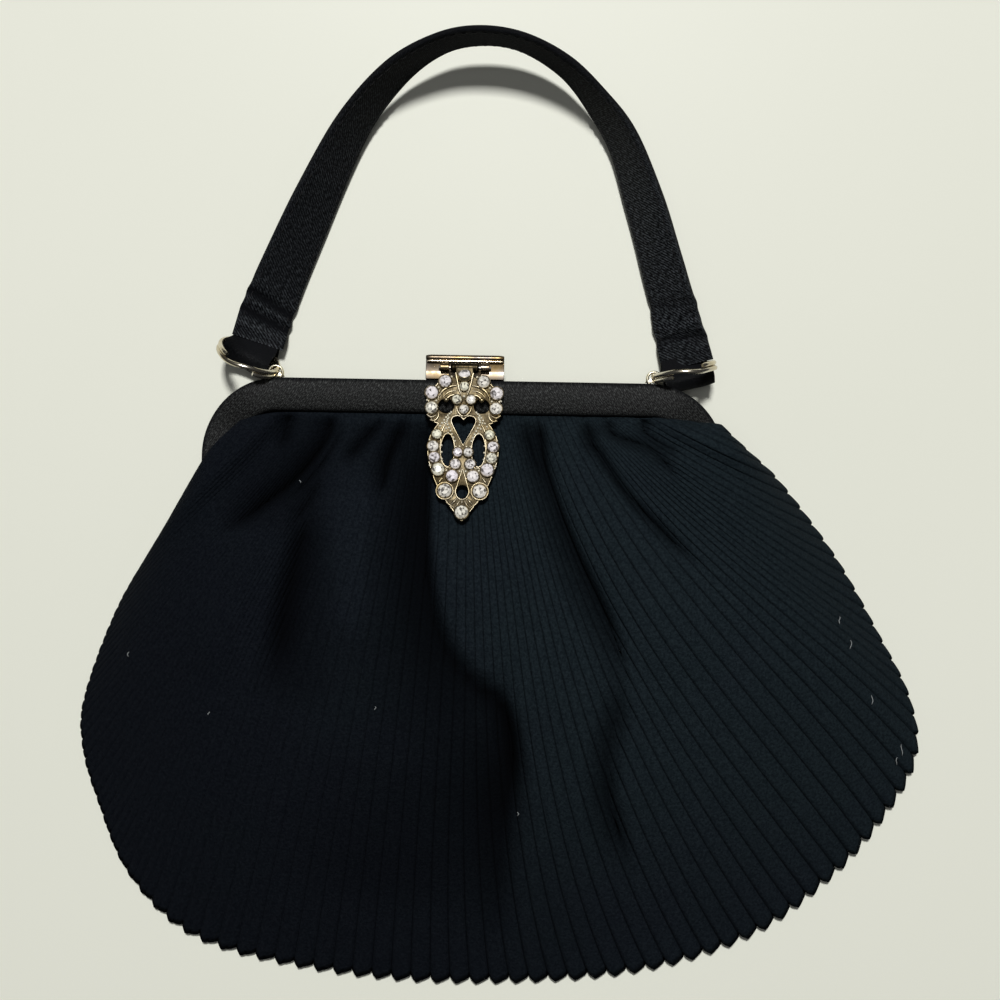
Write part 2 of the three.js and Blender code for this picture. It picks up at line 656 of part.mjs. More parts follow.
function leverSolid() {
  const [low, high] = [LEVER.back, LEVER.back + LEVER.sheet];
  const left = LEVER_HALF.map((p) => ({ x: -p.x, y: p.y })).reverse();
  let solid = prismSolid([...left, ...LEVER_HALF, { x: 0, y: LEVER_TIP }], low, high);
  for (const hole of LEVER_OPENINGS) {
    for (const side of hole.paired ? [-1, 1] : [1]) {
      solid = solid.subtract(prismSolid(oval(side * hole.x, hole.y, hole.rx, hole.ry, 10), low - 1, high + 1));
    }
  }
  const heart = [
    [0, HEART.notch], [0.45, HEART.shoulder], [0.9, HEART.notch], [1, 0.4], [0.6, -2.6], [0, HEART.tip],
    [-0.6, -2.6], [-1, 0.4], [-0.9, HEART.notch], [-0.45, HEART.shoulder],
  ];
  const heartPoints = heart.map(([side, rise]) => ({ x: side * HEART.halfWidth, y: HEART.y + rise }));
  solid = solid.subtract(prismSolid(heartPoints, low - 1, high + 1));
  solid = solid.add(barSolid(HINGE.barrelR, -HINGE.lever, HINGE.lever, 0, 0, 12));
  solid = solid.add(boxSolid(-HINGE.lever, HINGE.lever, -3.4, 0, 0.2, HINGE.barrelR));
  for (const spot of stoneSpots) {
    const tall = LEVER.sheet + LEVER.collet;
    const boss = new THREE.CylinderGeometry(spot.r + LEVER.rim, spot.r + LEVER.rim, tall, 8);
    solid = solid.add(toSolid(onSpot(boss, spot, -tall / 2)));
  }
  for (const spot of stoneSpots) {
    const seat = new THREE.CylinderGeometry(spot.r + 0.2, spot.r + 0.2, 2 * LEVER.seatDrop, 8);
    solid = solid.subtract(toSolid(onSpot(seat, spot, 0)));
  }
  return solid.subtract(barSolid(HINGE.holeR, -HINGE.pin, HINGE.pin, 0, 0, 12));
}
addMesh(lever, 'clasp_ornament', toGeometry(leverSolid()), SILVER);

stoneSpots.forEach((spot, index) => {
  const cut = new THREE.CylinderGeometry(spot.r * LEVER.table, spot.r, LEVER.crown, 8);
  const height = LEVER.crown / 2 - LEVER.seatDrop + GAP;
  addMesh(lever, `stone_${String(index + 1).padStart(2, '0')}`, onSpot(cut, spot, height), STONE);
});

// The origin lies on the table, under the middle of the bag's box
const bounds = new THREE.Box3().setFromObject(bag);
const middle = bounds.getCenter(new THREE.Vector3());
bag.position.set(-middle.x, -middle.y, -bounds.min.z);

export default root;
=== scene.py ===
# %% [markdown]
# # A pleated evening bag
# The bag lies on its back: a pouch of sunray pleats, a satin covered frame, a strap on two split rings and
# a clasp whose lever is set with stones. The imported model is the fixed frame of this lesson. We load it
# first and keep its parts: one of them places our drawing, and the pieces that we add replace some of them.

import math

import bmesh
import bpy
import numpy as np
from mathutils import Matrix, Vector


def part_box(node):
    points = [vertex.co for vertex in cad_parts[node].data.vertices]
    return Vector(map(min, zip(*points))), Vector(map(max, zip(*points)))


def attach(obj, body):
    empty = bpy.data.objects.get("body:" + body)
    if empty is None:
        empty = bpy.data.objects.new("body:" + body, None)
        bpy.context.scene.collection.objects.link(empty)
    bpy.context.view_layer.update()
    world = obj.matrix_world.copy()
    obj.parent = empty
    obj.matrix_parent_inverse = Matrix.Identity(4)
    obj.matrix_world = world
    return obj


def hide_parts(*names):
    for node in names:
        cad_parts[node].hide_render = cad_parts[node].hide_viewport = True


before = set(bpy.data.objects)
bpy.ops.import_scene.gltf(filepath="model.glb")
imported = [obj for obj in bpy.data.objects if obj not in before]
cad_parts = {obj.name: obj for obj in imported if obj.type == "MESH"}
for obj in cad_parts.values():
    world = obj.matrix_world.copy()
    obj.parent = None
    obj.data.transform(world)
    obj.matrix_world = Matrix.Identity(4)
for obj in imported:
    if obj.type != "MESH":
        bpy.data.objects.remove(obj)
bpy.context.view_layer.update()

# %% [markdown]
# ## Working in millimetres
# A bag is measured in millimetres, and its middle line runs through the clasp. The frame is in metres with
# its origin under the middle of the whole bag. We read the clasp's hinge pin from the frame, so that the
# drawing's zero and the frame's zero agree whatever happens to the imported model.

# %% From the drawing to the frame
HINGE = np.array([0.0, 39.2, 13.4])
pin_low, pin_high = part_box("clasp_pin")
SHIFT = (np.array(pin_low) + np.array(pin_high)) * 500 - HINGE


def to_frame(points):
    """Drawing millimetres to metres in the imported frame."""
    return (np.asarray(points, float).reshape(-1, 3) + SHIFT) / 1000


print("the drawing is moved by", SHIFT.round(3), "mm")

# %% [markdown]
# ## Mesh helpers
# Almost everything here is a skin over rows of points: a pleated panel, a bent bar, a ribbon, a wire. One
# function gives the faces between rows, one bends a smooth line through a few points, and one runs a tube
# along a line. Writing the points with arrays keeps large skins quick.

# %% Skins, smooth lines and tubes
def grid_faces(rows, columns):
    """Quads between closed rows of points."""
    row = np.arange(rows - 1)[:, None] * columns
    column = np.arange(columns)
    after = (column + 1) % columns
    quads = np.stack([row + column, row + after, row + columns + after, row + columns + column], -1)
    return quads.reshape(-1, 4).tolist()


def curve_spans(p, steps):
    """Curves between the inner points of a row. Its first and last point only steer them."""
    t = np.linspace(0, 1, steps, endpoint=False)[:, None]
    return np.vstack([
        b + t * (c - a) / 2 + t**2 * (a - 2.5 * b + 2 * c - d / 2) + t**3 * (1.5 * (b - c) + (d - a) / 2)
        for a, b, c, d in zip(p, p[1:], p[2:], p[3:])
    ])


def smooth_line(points, steps):
    """A line through all the points, with that many steps from one to the next."""
    p = np.asarray(points, float)
    return np.vstack([curve_spans(np.vstack([2 * p[0] - p[1], p, 2 * p[-1] - p[-2]]), steps), p[-1:]])


def smooth_loop(points, steps):
    """The same for a closed line, whose first point isn't repeated."""
    p = np.asarray(points, float)
    return curve_spans(np.vstack([p[-1:], p, p[:2]]), steps)


def run_along(line):
    """Distance of each point of a line from its start, measured along the line."""
    return np.concatenate([[0.0], np.cumsum(np.linalg.norm(np.diff(line, axis=0), axis=1))])


def unit(vectors):
    return vectors / np.linalg.norm(vectors, axis=-1, keepdims=True)


def loft(sections):
    """Skin over closed sections of one size, with a flat cap at each end."""
    rows, columns = sections.shape[:2]
    last = (rows - 1) * columns
    faces = grid_faces(rows, columns)
    faces.append(list(range(columns))[::-1])
    faces.append([last + k for k in range(columns)])
    return sections.reshape(-1, 3), faces


def tube(path, radius, up=(0.0, 0.0, 1.0), sides=10, closed=False, squeeze=1.0):
    """Round wire along a path; squeeze flattens it towards up."""
    path = np.asarray(path, float)
    radius = np.broadcast_to(np.asarray(radius, float), len(path))[:, None, None]
    if closed:
        ahead = unit(np.roll(path, -1, 0) - np.roll(path, 1, 0))
    else:
        ahead = unit(np.gradient(path, axis=0))
    side = unit(np.cross(ahead, up))
    lift = np.cross(side, ahead)
    turn = np.arange(sides) * 2 * math.pi / sides
    spokes = np.cos(turn)[:, None] * side[:, None] + squeeze * np.sin(turn)[:, None] * lift[:, None]
    rings = path[:, None] + radius * spokes
    if not closed:
        return loft(rings)
    ids = np.arange(len(path) * sides).reshape(-1, sides)
    corners = [ids, np.roll(ids, -1, 1), np.roll(np.roll(ids, -1, 0), -1, 1), np.roll(ids, -1, 0)]
    return rings.reshape(-1, 3), np.stack(corners, -1).reshape(-1, 4).tolist()


def joined(shells):
    points, faces, first = [], [], 0
    for shell_points, shell_faces in shells:
        points.append(shell_points)
        faces += [[corner + first for corner in face] for face in shell_faces]
        first += len(shell_points)
    return np.concatenate(points), faces


print("mesh helpers are ready")

# %% [markdown]
# ## From points to a piece
# A piece is a mesh object that rides on one body of the frame. Face directions are put right once here, so
# the helpers above needn't care which way round a section is drawn. Corners sharper than a given angle stay
# crisp.

# %% Make a piece
def make_piece(name, points, faces, materials, body="bag", replaces=(), sharp_deg=None):
    mesh = bpy.data.meshes.new(name)
    mesh.from_pydata(to_frame(points).tolist(), [], faces)
    shell = bmesh.new()
    shell.from_mesh(mesh)
    bmesh.ops.recalc_face_normals(shell, faces=shell.faces)
    shell.to_mesh(mesh)
    shell.free()
    mesh.shade_smooth()
    if sharp_deg is not None:
        mesh.set_sharp_from_angle(angle=math.radians(sharp_deg))
    for material in materials:
        mesh.materials.append(material)
    piece = bpy.data.objects.new(name, mesh)
    bpy.context.scene.collection.objects.link(piece)
    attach(piece, body)
    if replaces:
        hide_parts(*replaces)
    print(f"{name}: {len(mesh.vertices)} points, {len(mesh.polygons)} faces")
    return piece


def note(piece, name, values):
    """Keeps a value or a place for each point, which a material reads by name."""
    values = np.asarray(values, np.float32)
    if values.ndim == 1:
        piece.data.attributes.new(name, "FLOAT", "POINT").data.foreach_set("value", values)
    else:
        piece.data.attributes.new(name, "FLOAT_VECTOR", "POINT").data.foreach_set("vector", values.ravel())


# %% [markdown]
# ## Camera
# The photograph looks straight down at the bag from about half a metre, with the bag turned one degree. A
# camera that looks down needs no aiming: it already looks along -Z, so only its height and its roll are
# set.

# %% Camera
EYE = np.array([11.14, 0.0, 480.0])
SENSOR_MM, LENS_MM, ROLL_DEG = 36.0, 56.4, 1.0
camera = bpy.data.objects.new("camera", bpy.data.cameras.new("camera"))
camera.data.sensor_width, camera.data.lens = SENSOR_MM, LENS_MM
camera.location = to_frame(EYE)[0]
camera.rotation_euler = (0.0, 0.0, math.radians(ROLL_DEG))
bpy.context.scene.collection.objects.link(camera)
bpy.context.scene.camera = camera
bpy.context.scene.view_settings.view_transform = "Standard"
print("camera at", [round(x, 4) for x in camera.location])

# %% [markdown]
# ## Node helpers
# Materials are built from nodes in code. Small functions keep that readable: they add a node and feed its
# inputs with a value or a link, mix two colours, do arithmetic, and fetch a noise, a place or a value kept
# on the mesh.

# %% Node helpers
def feed(tree, socket, value):
    if isinstance(value, bpy.types.NodeSocket):
        tree.links.new(value, socket)
    elif isinstance(value, tuple) and socket.type == "RGBA":
        socket.default_value = (*value, 1.0)
    else:
        socket.default_value = value


def add(tree, kind, inputs=None, **settings):
    made = tree.nodes.new(kind)
    for name, value in settings.items():
        setattr(made, name, value)
    for name, value in (inputs or {}).items():
        feed(tree, made.inputs[name], value)
    return made


def mix_colour(tree, share, first, second):
    made = add(tree, "ShaderNodeMix", data_type="RGBA")
    for index, value in ((0, share), (6, first), (7, second)):
        feed(tree, made.inputs[index], value)
    return made.outputs[2]


def maths(tree, operation, *values):
    made = add(tree, "ShaderNodeMath", operation=operation)
    for index, value in enumerate(values):
        feed(tree, made.inputs[index], value)
    return made.outputs[0]


def spread(tree, value, low, high, to_low=0.0, to_high=1.0):
    names = ("Value", "From Min", "From Max", "To Min", "To Max")
    return add(tree, "ShaderNodeMapRange", dict(zip(names, (value, low, high, to_low, to_high)))).outputs[0]


def noise(tree, place, scale, detail, roughness=0.5):
    inputs = {"Vector": place, "Scale": scale, "Detail": detail, "Roughness": roughness}
    return add(tree, "ShaderNodeTexNoise", inputs).outputs["Fac"]


def object_place(tree):
    return add(tree, "ShaderNodeTexCoord").outputs["Object"]


def kept_value(tree, name, output="Fac"):
    """A value that the mesh keeps for each point or face."""
    return add(tree, "ShaderNodeAttribute", attribute_name=name).outputs[output]


def node_group(name, inputs, outputs):
    group = bpy.data.node_groups.new(name, "ShaderNodeTree")
    for socket, kind, value in inputs:
        made = group.interface.new_socket(name=socket, in_out="INPUT", socket_type=f"NodeSocket{kind}")
        if value is not None:
            made.default_value = value
    for socket in outputs:
        group.interface.new_socket(name=socket, in_out="OUTPUT", socket_type="NodeSocketFloat")
    return group, group.nodes.new("NodeGroupInput").outputs, group.nodes.new("NodeGroupOutput").inputs


def shader(name, constants):
    material = bpy.data.materials.new(name)
    material.use_nodes = True
    tree = material.node_tree
    surface = tree.nodes["Principled BSDF"]
    for socket, value in constants.items():
        feed(tree, surface.inputs[socket], value)
    return material, tree, surface.inputs


print("node helpers are ready")

# %% [markdown]
# ## Table and light
# The bag lies on a pale, faintly glossy table top. One lamp of modest size stands far beyond the strap: it
# draws the crescent of shadow inside the strap's arch and leaves the lower half of the pouch darker than
# the upper. A soft panel overhead fills the rest and gives the metal something bright to mirror, against a
# dim room. The table belongs to the stage, not to the bag.

# %% Table and light
scene = bpy.context.scene
table_top, tree, surface = shader("pale_table", {"Specular IOR Level": 0.12})
spot = object_place(tree)
cloudy = noise(tree, spot, 5.0, 2.0)
feed(tree, surface["Base Color"], mix_colour(tree, cloudy, (0.86, 0.87, 0.755), (0.90, 0.905, 0.795)))
feed(tree, surface["Roughness"], spread(tree, cloudy, 0.3, 0.7, 0.36, 0.44))

TABLE_REACH, TABLE_DROP = 3.0, 0.0002
corners = ((-1, -1), (1, -1), (1, 1), (-1, 1))
table_mesh = bpy.data.meshes.new("table")
table_mesh.from_pydata(
    [(x * TABLE_REACH, y * TABLE_REACH, -TABLE_DROP) for x, y in corners], [], [(0, 1, 2, 3)]
)
table_mesh.materials.append(table_top)
table = bpy.data.objects.new("table", table_mesh)
scene.collection.objects.link(table)

world = bpy.data.worlds.new("surround")
world.use_nodes = True
glow = world.node_tree.nodes["Background"].inputs
glow["Color"].default_value = (0.96, 0.97, 1.0, 1.0)
glow["Strength"].default_value = 0.045
scene.world = world

LAMPS = (
    {"name": "window", "place": (0.0, 1.15, 2.55), "size": (0.34, 0.34), "power": 63.0},
    {"name": "panel", "place": (-0.1, 0.0, 1.6), "size": (0.9, 0.8), "power": 1.7},
)
for row in LAMPS:
    lamp = bpy.data.lights.new(row["name"], "AREA")
    lamp.shape = "RECTANGLE"
    lamp.size, lamp.size_y = row["size"]
    lamp.energy = row["power"]
    holder = bpy.data.objects.new(row["name"], lamp)
    holder.location = row["place"]
    holder.rotation_mode = "QUATERNION"
    holder.rotation_quaternion = (-holder.location).to_track_quat("-Z", "Y")
    scene.collection.objects.link(holder)
print("table and", len(LAMPS), "lamps")

# %% [markdown]
# ## Woven threads
# Satin and twill are made of threads that float over others, so light breaks up into short streaks along
# the threads and, in twill, into slanted lines. The frame, both sides of the strap and the stitching all
# need that, each at its own scale, so the effect is one node group. It reads a place in millimetres on the
# cloth.

# %% Group: woven threads
weave, given, made = node_group(
    "woven_threads",
    [("Place", "Vector", None), ("Pitch", "Float", 0.8), ("Slant", "Float", 0.0), ("Slub", "Float", 0.5)],
    ["Height", "Lustre"],
)
slanted = {"Vector": given["Place"], "Angle": given["Slant"]}
turned = add(weave, "ShaderNodeVectorRotate", slanted, rotation_type="Z_AXIS").outputs[0]
across = add(weave, "ShaderNodeSeparateXYZ", {0: turned}).outputs["X"]
turns = maths(weave, "DIVIDE", across, given["Pitch"])
ribs = maths(weave, "SINE", maths(weave, "MULTIPLY", turns, 2 * math.pi))
ribs = spread(weave, ribs, -1.0, 1.0)
longer = maths(weave, "MULTIPLY", given["Pitch"], 2.6)
cell = add(weave, "ShaderNodeCombineXYZ", {"X": given["Pitch"], "Y": longer, "Z": longer}).outputs[0]
scaled = add(weave, "ShaderNodeVectorMath", {0: turned, 1: cell}, operation="DIVIDE").outputs[0]
streak = spread(weave, noise(weave, scaled, 1.6, 2.0, 0.65), 0.36, 0.68)
slubs = maths(weave, "MULTIPLY", streak, given["Slub"])
even = maths(weave, "MULTIPLY", ribs, maths(weave, "SUBTRACT", 1.0, given["Slub"]))
both = maths(weave, "ADD", slubs, even)
feed(weave, made["Height"], both)
feed(weave, made["Lustre"], maths(weave, "POWER", both, 2.0))
print("group:", weave.name)

# %% [markdown]
# ## Settled dust
# Black cloth shows every speck. A cell pattern gives each cell one dot, and a threshold on the cell's own
# random number keeps only a few of them. Crepe and satin use it, each with its own amount.

# %% Group: settled dust
dust, given, made = node_group(
    "settled_dust", [("Place", "Vector", None), ("Amount", "Float", 0.1)], ["Mask"]
)
cells = add(dust, "ShaderNodeTexVoronoi", {"Vector": given["Place"], "Scale": 130.0}, feature="F1")
chance = add(dust, "ShaderNodeSeparateColor", {0: cells.outputs["Color"]}).outputs["Red"]
chosen = maths(dust, "LESS_THAN", chance, given["Amount"])
dot = spread(dust, cells.outputs["Distance"], 0.03, 0.055, 1.0, 0.0)
feed(dust, made["Mask"], maths(dust, "MULTIPLY", dot, chosen))
print("group:", dust.name)

# %% [markdown]
# ## Worn plating
# Old plating is bright where fingers rub it, brown in the corners that a cloth doesn't reach, and
# scratched. The group takes the surface's own sharpness, which Blender calls pointiness, and gives a
# tarnish mask and a fine scratch height. The casting, the polished catch, the rings and the pins place it
# with their own values.

# %% Group: worn plating
wear, given, made = node_group(
    "worn_plating",
    [
        ("Place", "Vector", None), ("Sharpness", "Float", 0.5), ("Patina", "Float", 0.5),
        ("Grain", "Float", 900.0),
    ],
    ["Tarnish", "Scratch"],
)
hollow = spread(wear, given["Sharpness"], 0.44, 0.52, 1.0, 0.0)
blotchy = spread(wear, noise(wear, given["Place"], 420.0, 4.0, 0.6), 0.42, 0.68)
dirty = maths(wear, "ADD", maths(wear, "MULTIPLY", hollow, 0.75), maths(wear, "MULTIPLY", blotchy, 0.45))
tarnish = add(wear, "ShaderNodeMath", {0: dirty, 1: given["Patina"]}, operation="MULTIPLY", use_clamp=True)
feed(wear, made["Tarnish"], tarnish.outputs[0])
long_grain = {0: given["Place"], 1: (1.0, 0.12, 1.0)}
stretch = add(wear, "ShaderNodeVectorMath", long_grain, operation="MULTIPLY").outputs[0]
feed(wear, made["Scratch"], noise(wear, stretch, given["Grain"], 3.0))
print("group:", wear.name)

# %% [markdown]
# ## Cloth finishes
# The pouch is black silk crepe with a cool cast, matt and pebbled. Its colour carries painted shade in the
# pleats' creases and the folds' hollows, and painted light that leaves it paler on the upper right and darker
# to the left and low down. Frame and strap are satin, with more lustre. The strap's inner side shows a
# slanted twill. Each finish reads values that its mesh keeps for every point.

# %% Crepe
def bump(tree, height, strength, distance):
    inputs = {"Height": height, "Strength": strength, "Distance": distance}
    return add(tree, "ShaderNodeBump", inputs).outputs[0]


def place_group(tree, group, inputs):
    made = add(tree, "ShaderNodeGroup", node_tree=group)
    for name, value in inputs.items():
        feed(tree, made.inputs[name], value)
    return made.outputs


LINT = (0.42, 0.44, 0.43)
crepe, tree, surface = shader("pleated_crepe", {"Specular IOR Level": 0.03})
spot = object_place(tree)
ridge, hollow, painted_light = (kept_value(tree, name) for name in ("ridge", "hollow", "painted_light"))
pebble = noise(tree, spot, 1250.0, 4.0, 0.75)
fading = noise(tree, spot, 30.0, 5.0, 0.6)
# The near black that the painted shade is mixed towards.
PAINTED_SHADE = (0.0010, 0.0012, 0.0018)
# Random fading plus the painted light. Together they shift the hue from purple blue to teal and set the
# grain's tone.
fade_and_light = maths(tree, "ADD", spread(tree, fading, 0.3, 0.7, -0.3, 0.3), painted_light)
fade_and_light = spread(tree, fade_and_light, 0.0, 1.0)
colour = mix_colour(tree, fade_and_light, (0.0070, 0.0094, 0.0146), (0.0068, 0.0108, 0.0138))
grain = mix_colour(tree, fade_and_light, (0.0195, 0.0245, 0.033), (0.018, 0.027, 0.032))
colour = mix_colour(tree, spread(tree, pebble, 0.40, 0.66, 0.0, 0.85), colour, grain)
# Painted shade: darker where the painted light is low, down in the folds' hollows and in the pleats' creases.
colour = mix_colour(tree, spread(tree, painted_light, 0.0, 1.0, 0.56, 0.0), colour, PAINTED_SHADE)
colour = mix_colour(tree, spread(tree, hollow, 0.08, 0.85, 0.0, 1.0), colour, PAINTED_SHADE)
colour = mix_colour(tree, spread(tree, ridge, 0.0, 0.62, 0.88, 0.0), colour, PAINTED_SHADE)
specks = place_group(tree, dust, {"Place": spot, "Amount": 0.012})
feed(tree, surface["Base Color"], mix_colour(tree, specks["Mask"], colour, LINT))
feed(tree, surface["Roughness"], spread(tree, pebble, 0.3, 0.7, 0.82, 0.98))
feed(tree, surface["Normal"], bump(tree, pebble, 0.9, 0.0005))
print("finish:", crepe.name)

# %% [markdown]
# Satin is the same recipe for the frame and for both sides of the strap, so one function mixes it and the
# calls differ in pitch, slant and lustre.

# %% Satin and twill
PLAIN_SATIN = (0.0034, 0.0038, 0.0048)


def satin_finish(name, pitch, slant, slub, dark, sheen_colour, rough, gloss=0.14):
    material, tree, surface = shader(name, {"Specular IOR Level": gloss})
    spot = object_place(tree)
    thread, edge = kept_value(tree, "thread", "Vector"), kept_value(tree, "edge")
    woven = place_group(tree, weave, {"Place": thread, "Pitch": pitch, "Slant": slant, "Slub": slub})
    specks = place_group(tree, dust, {"Place": spot, "Amount": 0.02})
    # Painted sheen: the weave's lustre is mixed into the colour as lighter threads. The kept edge value then
    # mixes in plain dark satin, as painted shade where a piece asks for it.
    colour = mix_colour(tree, spread(tree, woven["Lustre"], 0.10, 0.75), dark, sheen_colour)
    colour = mix_colour(tree, edge, colour, PLAIN_SATIN)
    feed(tree, surface["Base Color"], mix_colour(tree, specks["Mask"], colour, LINT))
    sheen = spread(tree, woven["Lustre"], 0.0, 1.0, rough + 0.12, rough - 0.08)
    feed(tree, surface["Roughness"], maths(tree, "ADD", sheen, maths(tree, "MULTIPLY", edge, 0.45)))
    feed(tree, surface["Normal"], bump(tree, woven["Height"], 0.6, 0.00016))
    print("finish:", name)
    return material


frame_satin = satin_finish(
    "frame_satin", 0.52, -0.6, 0.8, (0.003, 0.003, 0.003), (0.052, 0.055, 0.053), 0.46
)
strap_satin = satin_finish(
    "strap_satin", 0.55, 1.35, 0.85, (0.0006, 0.0007, 0.0010), (0.016, 0.0175, 0.0195), 0.34
)
strap_twill = satin_finish(
    "strap_twill", 0.74, 0.70, 0.65, (0.0010, 0.0013, 0.0017), (0.066, 0.074, 0.082), 0.40, gloss=0.06
)
sewing_thread = satin_finish(
    "sewing_thread", 0.30, 0.6, 0.3, (0.004, 0.004, 0.005), (0.022, 0.022, 0.024), 0.55
)

# %% [markdown]
# ## Metal finishes
# The clasp is cast and plated in a pale gold that has worn towards silver, and its ground has gone dark
# brown. The catch is polished sheet that has dulled with age. Rings, eyelets and beads are brighter. All are
# one recipe around the worn plating group, so one function mixes it and the calls differ in colours,
# patina, roughness and grain.

# %% Metals
def metal_finish(name, bright, warm, grime, patina, rough, grain, relief=0.00006, metallic=1.0):
    material, tree, surface = shader(name, {"Metallic": metallic})
    spot = object_place(tree)
    sharp = add(tree, "ShaderNodeNewGeometry").outputs["Pointiness"]
    worn = place_group(tree, wear, {"Place": spot, "Sharpness": sharp, "Patina": patina, "Grain": grain})
    hue = spread(tree, noise(tree, spot, 160.0, 2.0), 0.35, 0.65)
    colour = mix_colour(tree, hue, bright, warm)
    feed(tree, surface["Base Color"], mix_colour(tree, worn["Tarnish"], colour, grime))
    feed(tree, surface["Roughness"], spread(tree, worn["Tarnish"], 0.0, 1.0, rough, rough + 0.25))
    feed(tree, surface["Normal"], bump(tree, worn["Scratch"], 0.18, relief))
    print("finish:", name)
    return material


GRIME = (0.09, 0.060, 0.030)
cast_plating = metal_finish(
    "cast_plating", (0.50, 0.44, 0.32), (0.42, 0.34, 0.19), GRIME, 0.7, 0.34, 1500.0
)
cast_ground = metal_finish(
    "cast_ground", (0.066, 0.053, 0.031), (0.026, 0.019, 0.009), (0.005, 0.003, 0.002), 1.0, 0.34, 1100.0,
    relief=0.0007,
)
bead_gold = metal_finish(
    "bead_gold", (0.80, 0.76, 0.62), (0.76, 0.68, 0.48), GRIME, 0.0, 0.3, 1500.0, metallic=0.25
)
polished_plating = metal_finish(
    "polished_plating", (0.16, 0.14, 0.12), (0.20, 0.14, 0.065), (0.02, 0.012, 0.01), 0.9, 0.26, 700.0
)
ring_wire = metal_finish(
    "ring_wire", (0.78, 0.73, 0.62), (0.66, 0.57, 0.40), GRIME, 0.4, 0.20, 1200.0
)
eyelet_gold = metal_finish(
    "eyelet_gold", (0.86, 0.82, 0.68), (0.82, 0.74, 0.52), GRIME, 0.25, 0.30, 1000.0
)
pin_steel = metal_finish(
    "pin_steel", (0.50, 0.49, 0.47), (0.42, 0.38, 0.33), GRIME, 0.6, 0.32, 1500.0
)

# %% [markdown]
# ## Stone finish
# The stones are glass with a bright foil behind it, which sends the light back out: some facets flash white
# and others stay grey. Clear glass over a foil would need many light bounces, so each facet keeps its own
# brightness instead, under a thin clear coat.

# %% Foiled stones
stone_glass, tree, surface = shader(
    "stone_glass",
    {"Specular IOR Level": 0.12, "Roughness": 0.2, "Coat Weight": 0.04, "Coat Roughness": 0.05},
)
flash, tint = kept_value(tree, "flash"), kept_value(tree, "tint")
clear = mix_colour(tree, tint, (0.96, 0.90, 0.94), (0.94, 0.92, 0.70))
feed(tree, surface["Base Color"], mix_colour(tree, flash, (0.075, 0.065, 0.060), clear))
print("finish:", stone_glass.name)

# %% [markdown]
# ## The pouch: where its pleats run
# The pouch is a half circle of sunray pleats, gathered into the frame and spread along the hem. It could be
# simulated, but pressed pleats hold their lines, so each pleat is drawn as its own curve: it leaves the
# frame crowded together with its neighbours, fans out, and meets the hem at its own share of the hem's
# length. The table follows single pleats of the photograph: where they meet hem (-1 to 1 from the left end
# to the right end) and frame, and the angles from straight down at which they leave the frame and arrive at
# the hem.

# %% Pleat lines
HEM = (
    (-79.4, 6.0), (-90.4, -10.9), (-104.0, -34.0), (-113.9, -61.6), (-114.5, -76.8),
    (-109.6, -93.5), (-99.6, -115.6), (-79.1, -133.4), (-44.5, -142.2), (0.0, -145.6),
    (51.7, -142.0), (87.7, -130.8), (112.1, -113.0), (128.5, -93.9), (138.3, -75.4), (136.6, -58.7),
    (126.6, -39.1), (113.4, -16.5), (96.6, 5.5), (86.8, 15.0), (76.4, 23.2),
)
FRAME_MID, FRAME_TOP, FRAME_HALF, FRAME_CORNER, FRAME_BAND, BAR_HEIGHT = 8.5, 35.5, 78.5, 23.4, 10.0, 6.0
STRAIGHT = FRAME_HALF - FRAME_CORNER
HEM_HEIGHT, MOUTH_HALF, BELLY = 1.6, 4.0, 16.5
PLEAT_WAYS = np.array([
    (-1.0, -66.4, -0.70, -0.60), (-0.82, -51.0, -0.55, -0.75), (-0.675, -40.0, -0.62, -0.75),
    (-0.5, -31.0, -0.60, -0.55), (-0.35, -23.5, -0.50, -0.30), (-0.217, -18.0, -0.22, -0.20),
    (-0.115, -12.0, -0.05, -0.10), (0.0, -2.0, 0.10, 0.05), (0.17, 8.0, 0.22, 0.42),
    (0.41, 22.5, 0.28, 0.68), (0.52, 34.0, 0.50, 0.66), (0.72, 40.0, 0.80, 1.02),
    (0.83, 44.5, 0.95, 1.20), (0.91, 54.0, 1.05, 1.30), (1.0, 74.5, 1.20, 1.30),
])

hem_line = smooth_line(HEM, 60)
hem_run = run_along(hem_line)
hem_left, hem_right = hem_line[:, 0].argmin(), hem_line[:, 0].argmax()
hem_middle = np.interp(0.0, hem_line[hem_left:hem_right, 0], hem_run[hem_left:hem_right]) / hem_run[-1]


def smooth_step(low, high, value):
    t = np.clip((value - low) / (high - low), 0.0, 1.0)
    return t * t * (3 - 2 * t)


def pleat_way(spread_out, column):
    """A column of the table above, read between its rows and rounded off there."""
    nearby = np.linspace(-0.05, 0.05, 9)[:, None] * (1 - np.abs(spread_out))
    return np.interp(spread_out + nearby, PLEAT_WAYS[:, 0], column).mean(0)


def pleat_lines(share):
    """For shares of the hem: spread from the middle, length, how far it lies over a leg, and four handles."""
    spread_out = np.where(share < hem_middle, share / hem_middle - 1, (share - hem_middle) / (1 - hem_middle))
    x, leave, arrive = (pleat_way(spread_out, column) for column in PLEAT_WAYS.T[1:])
    past_bar = np.clip(np.abs(x) - 50, 0, None)
    dip = np.where(x < 0, 3.1 * (past_bar / 16.4) ** 2, 2.0 * (past_bar / 25) ** 2)
    start = np.stack([x, FRAME_TOP - FRAME_BAND - 0.3 - dip], -1)
    end = np.stack([np.interp(share * hem_run[-1], hem_run, hem_line[:, k]) for k in (0, 1)], -1)
    length = np.linalg.norm(end - start, axis=-1)
    handle = 0.35 * length[:, None]
    out = start + handle * np.stack([np.sin(leave), -np.cos(leave)], -1)
    back = end + handle * np.stack([-np.sin(arrive), np.cos(arrive)], -1)
    over = smooth_step(50, 57, np.abs(x))
    return spread_out, length, over, (start, out, back, end)


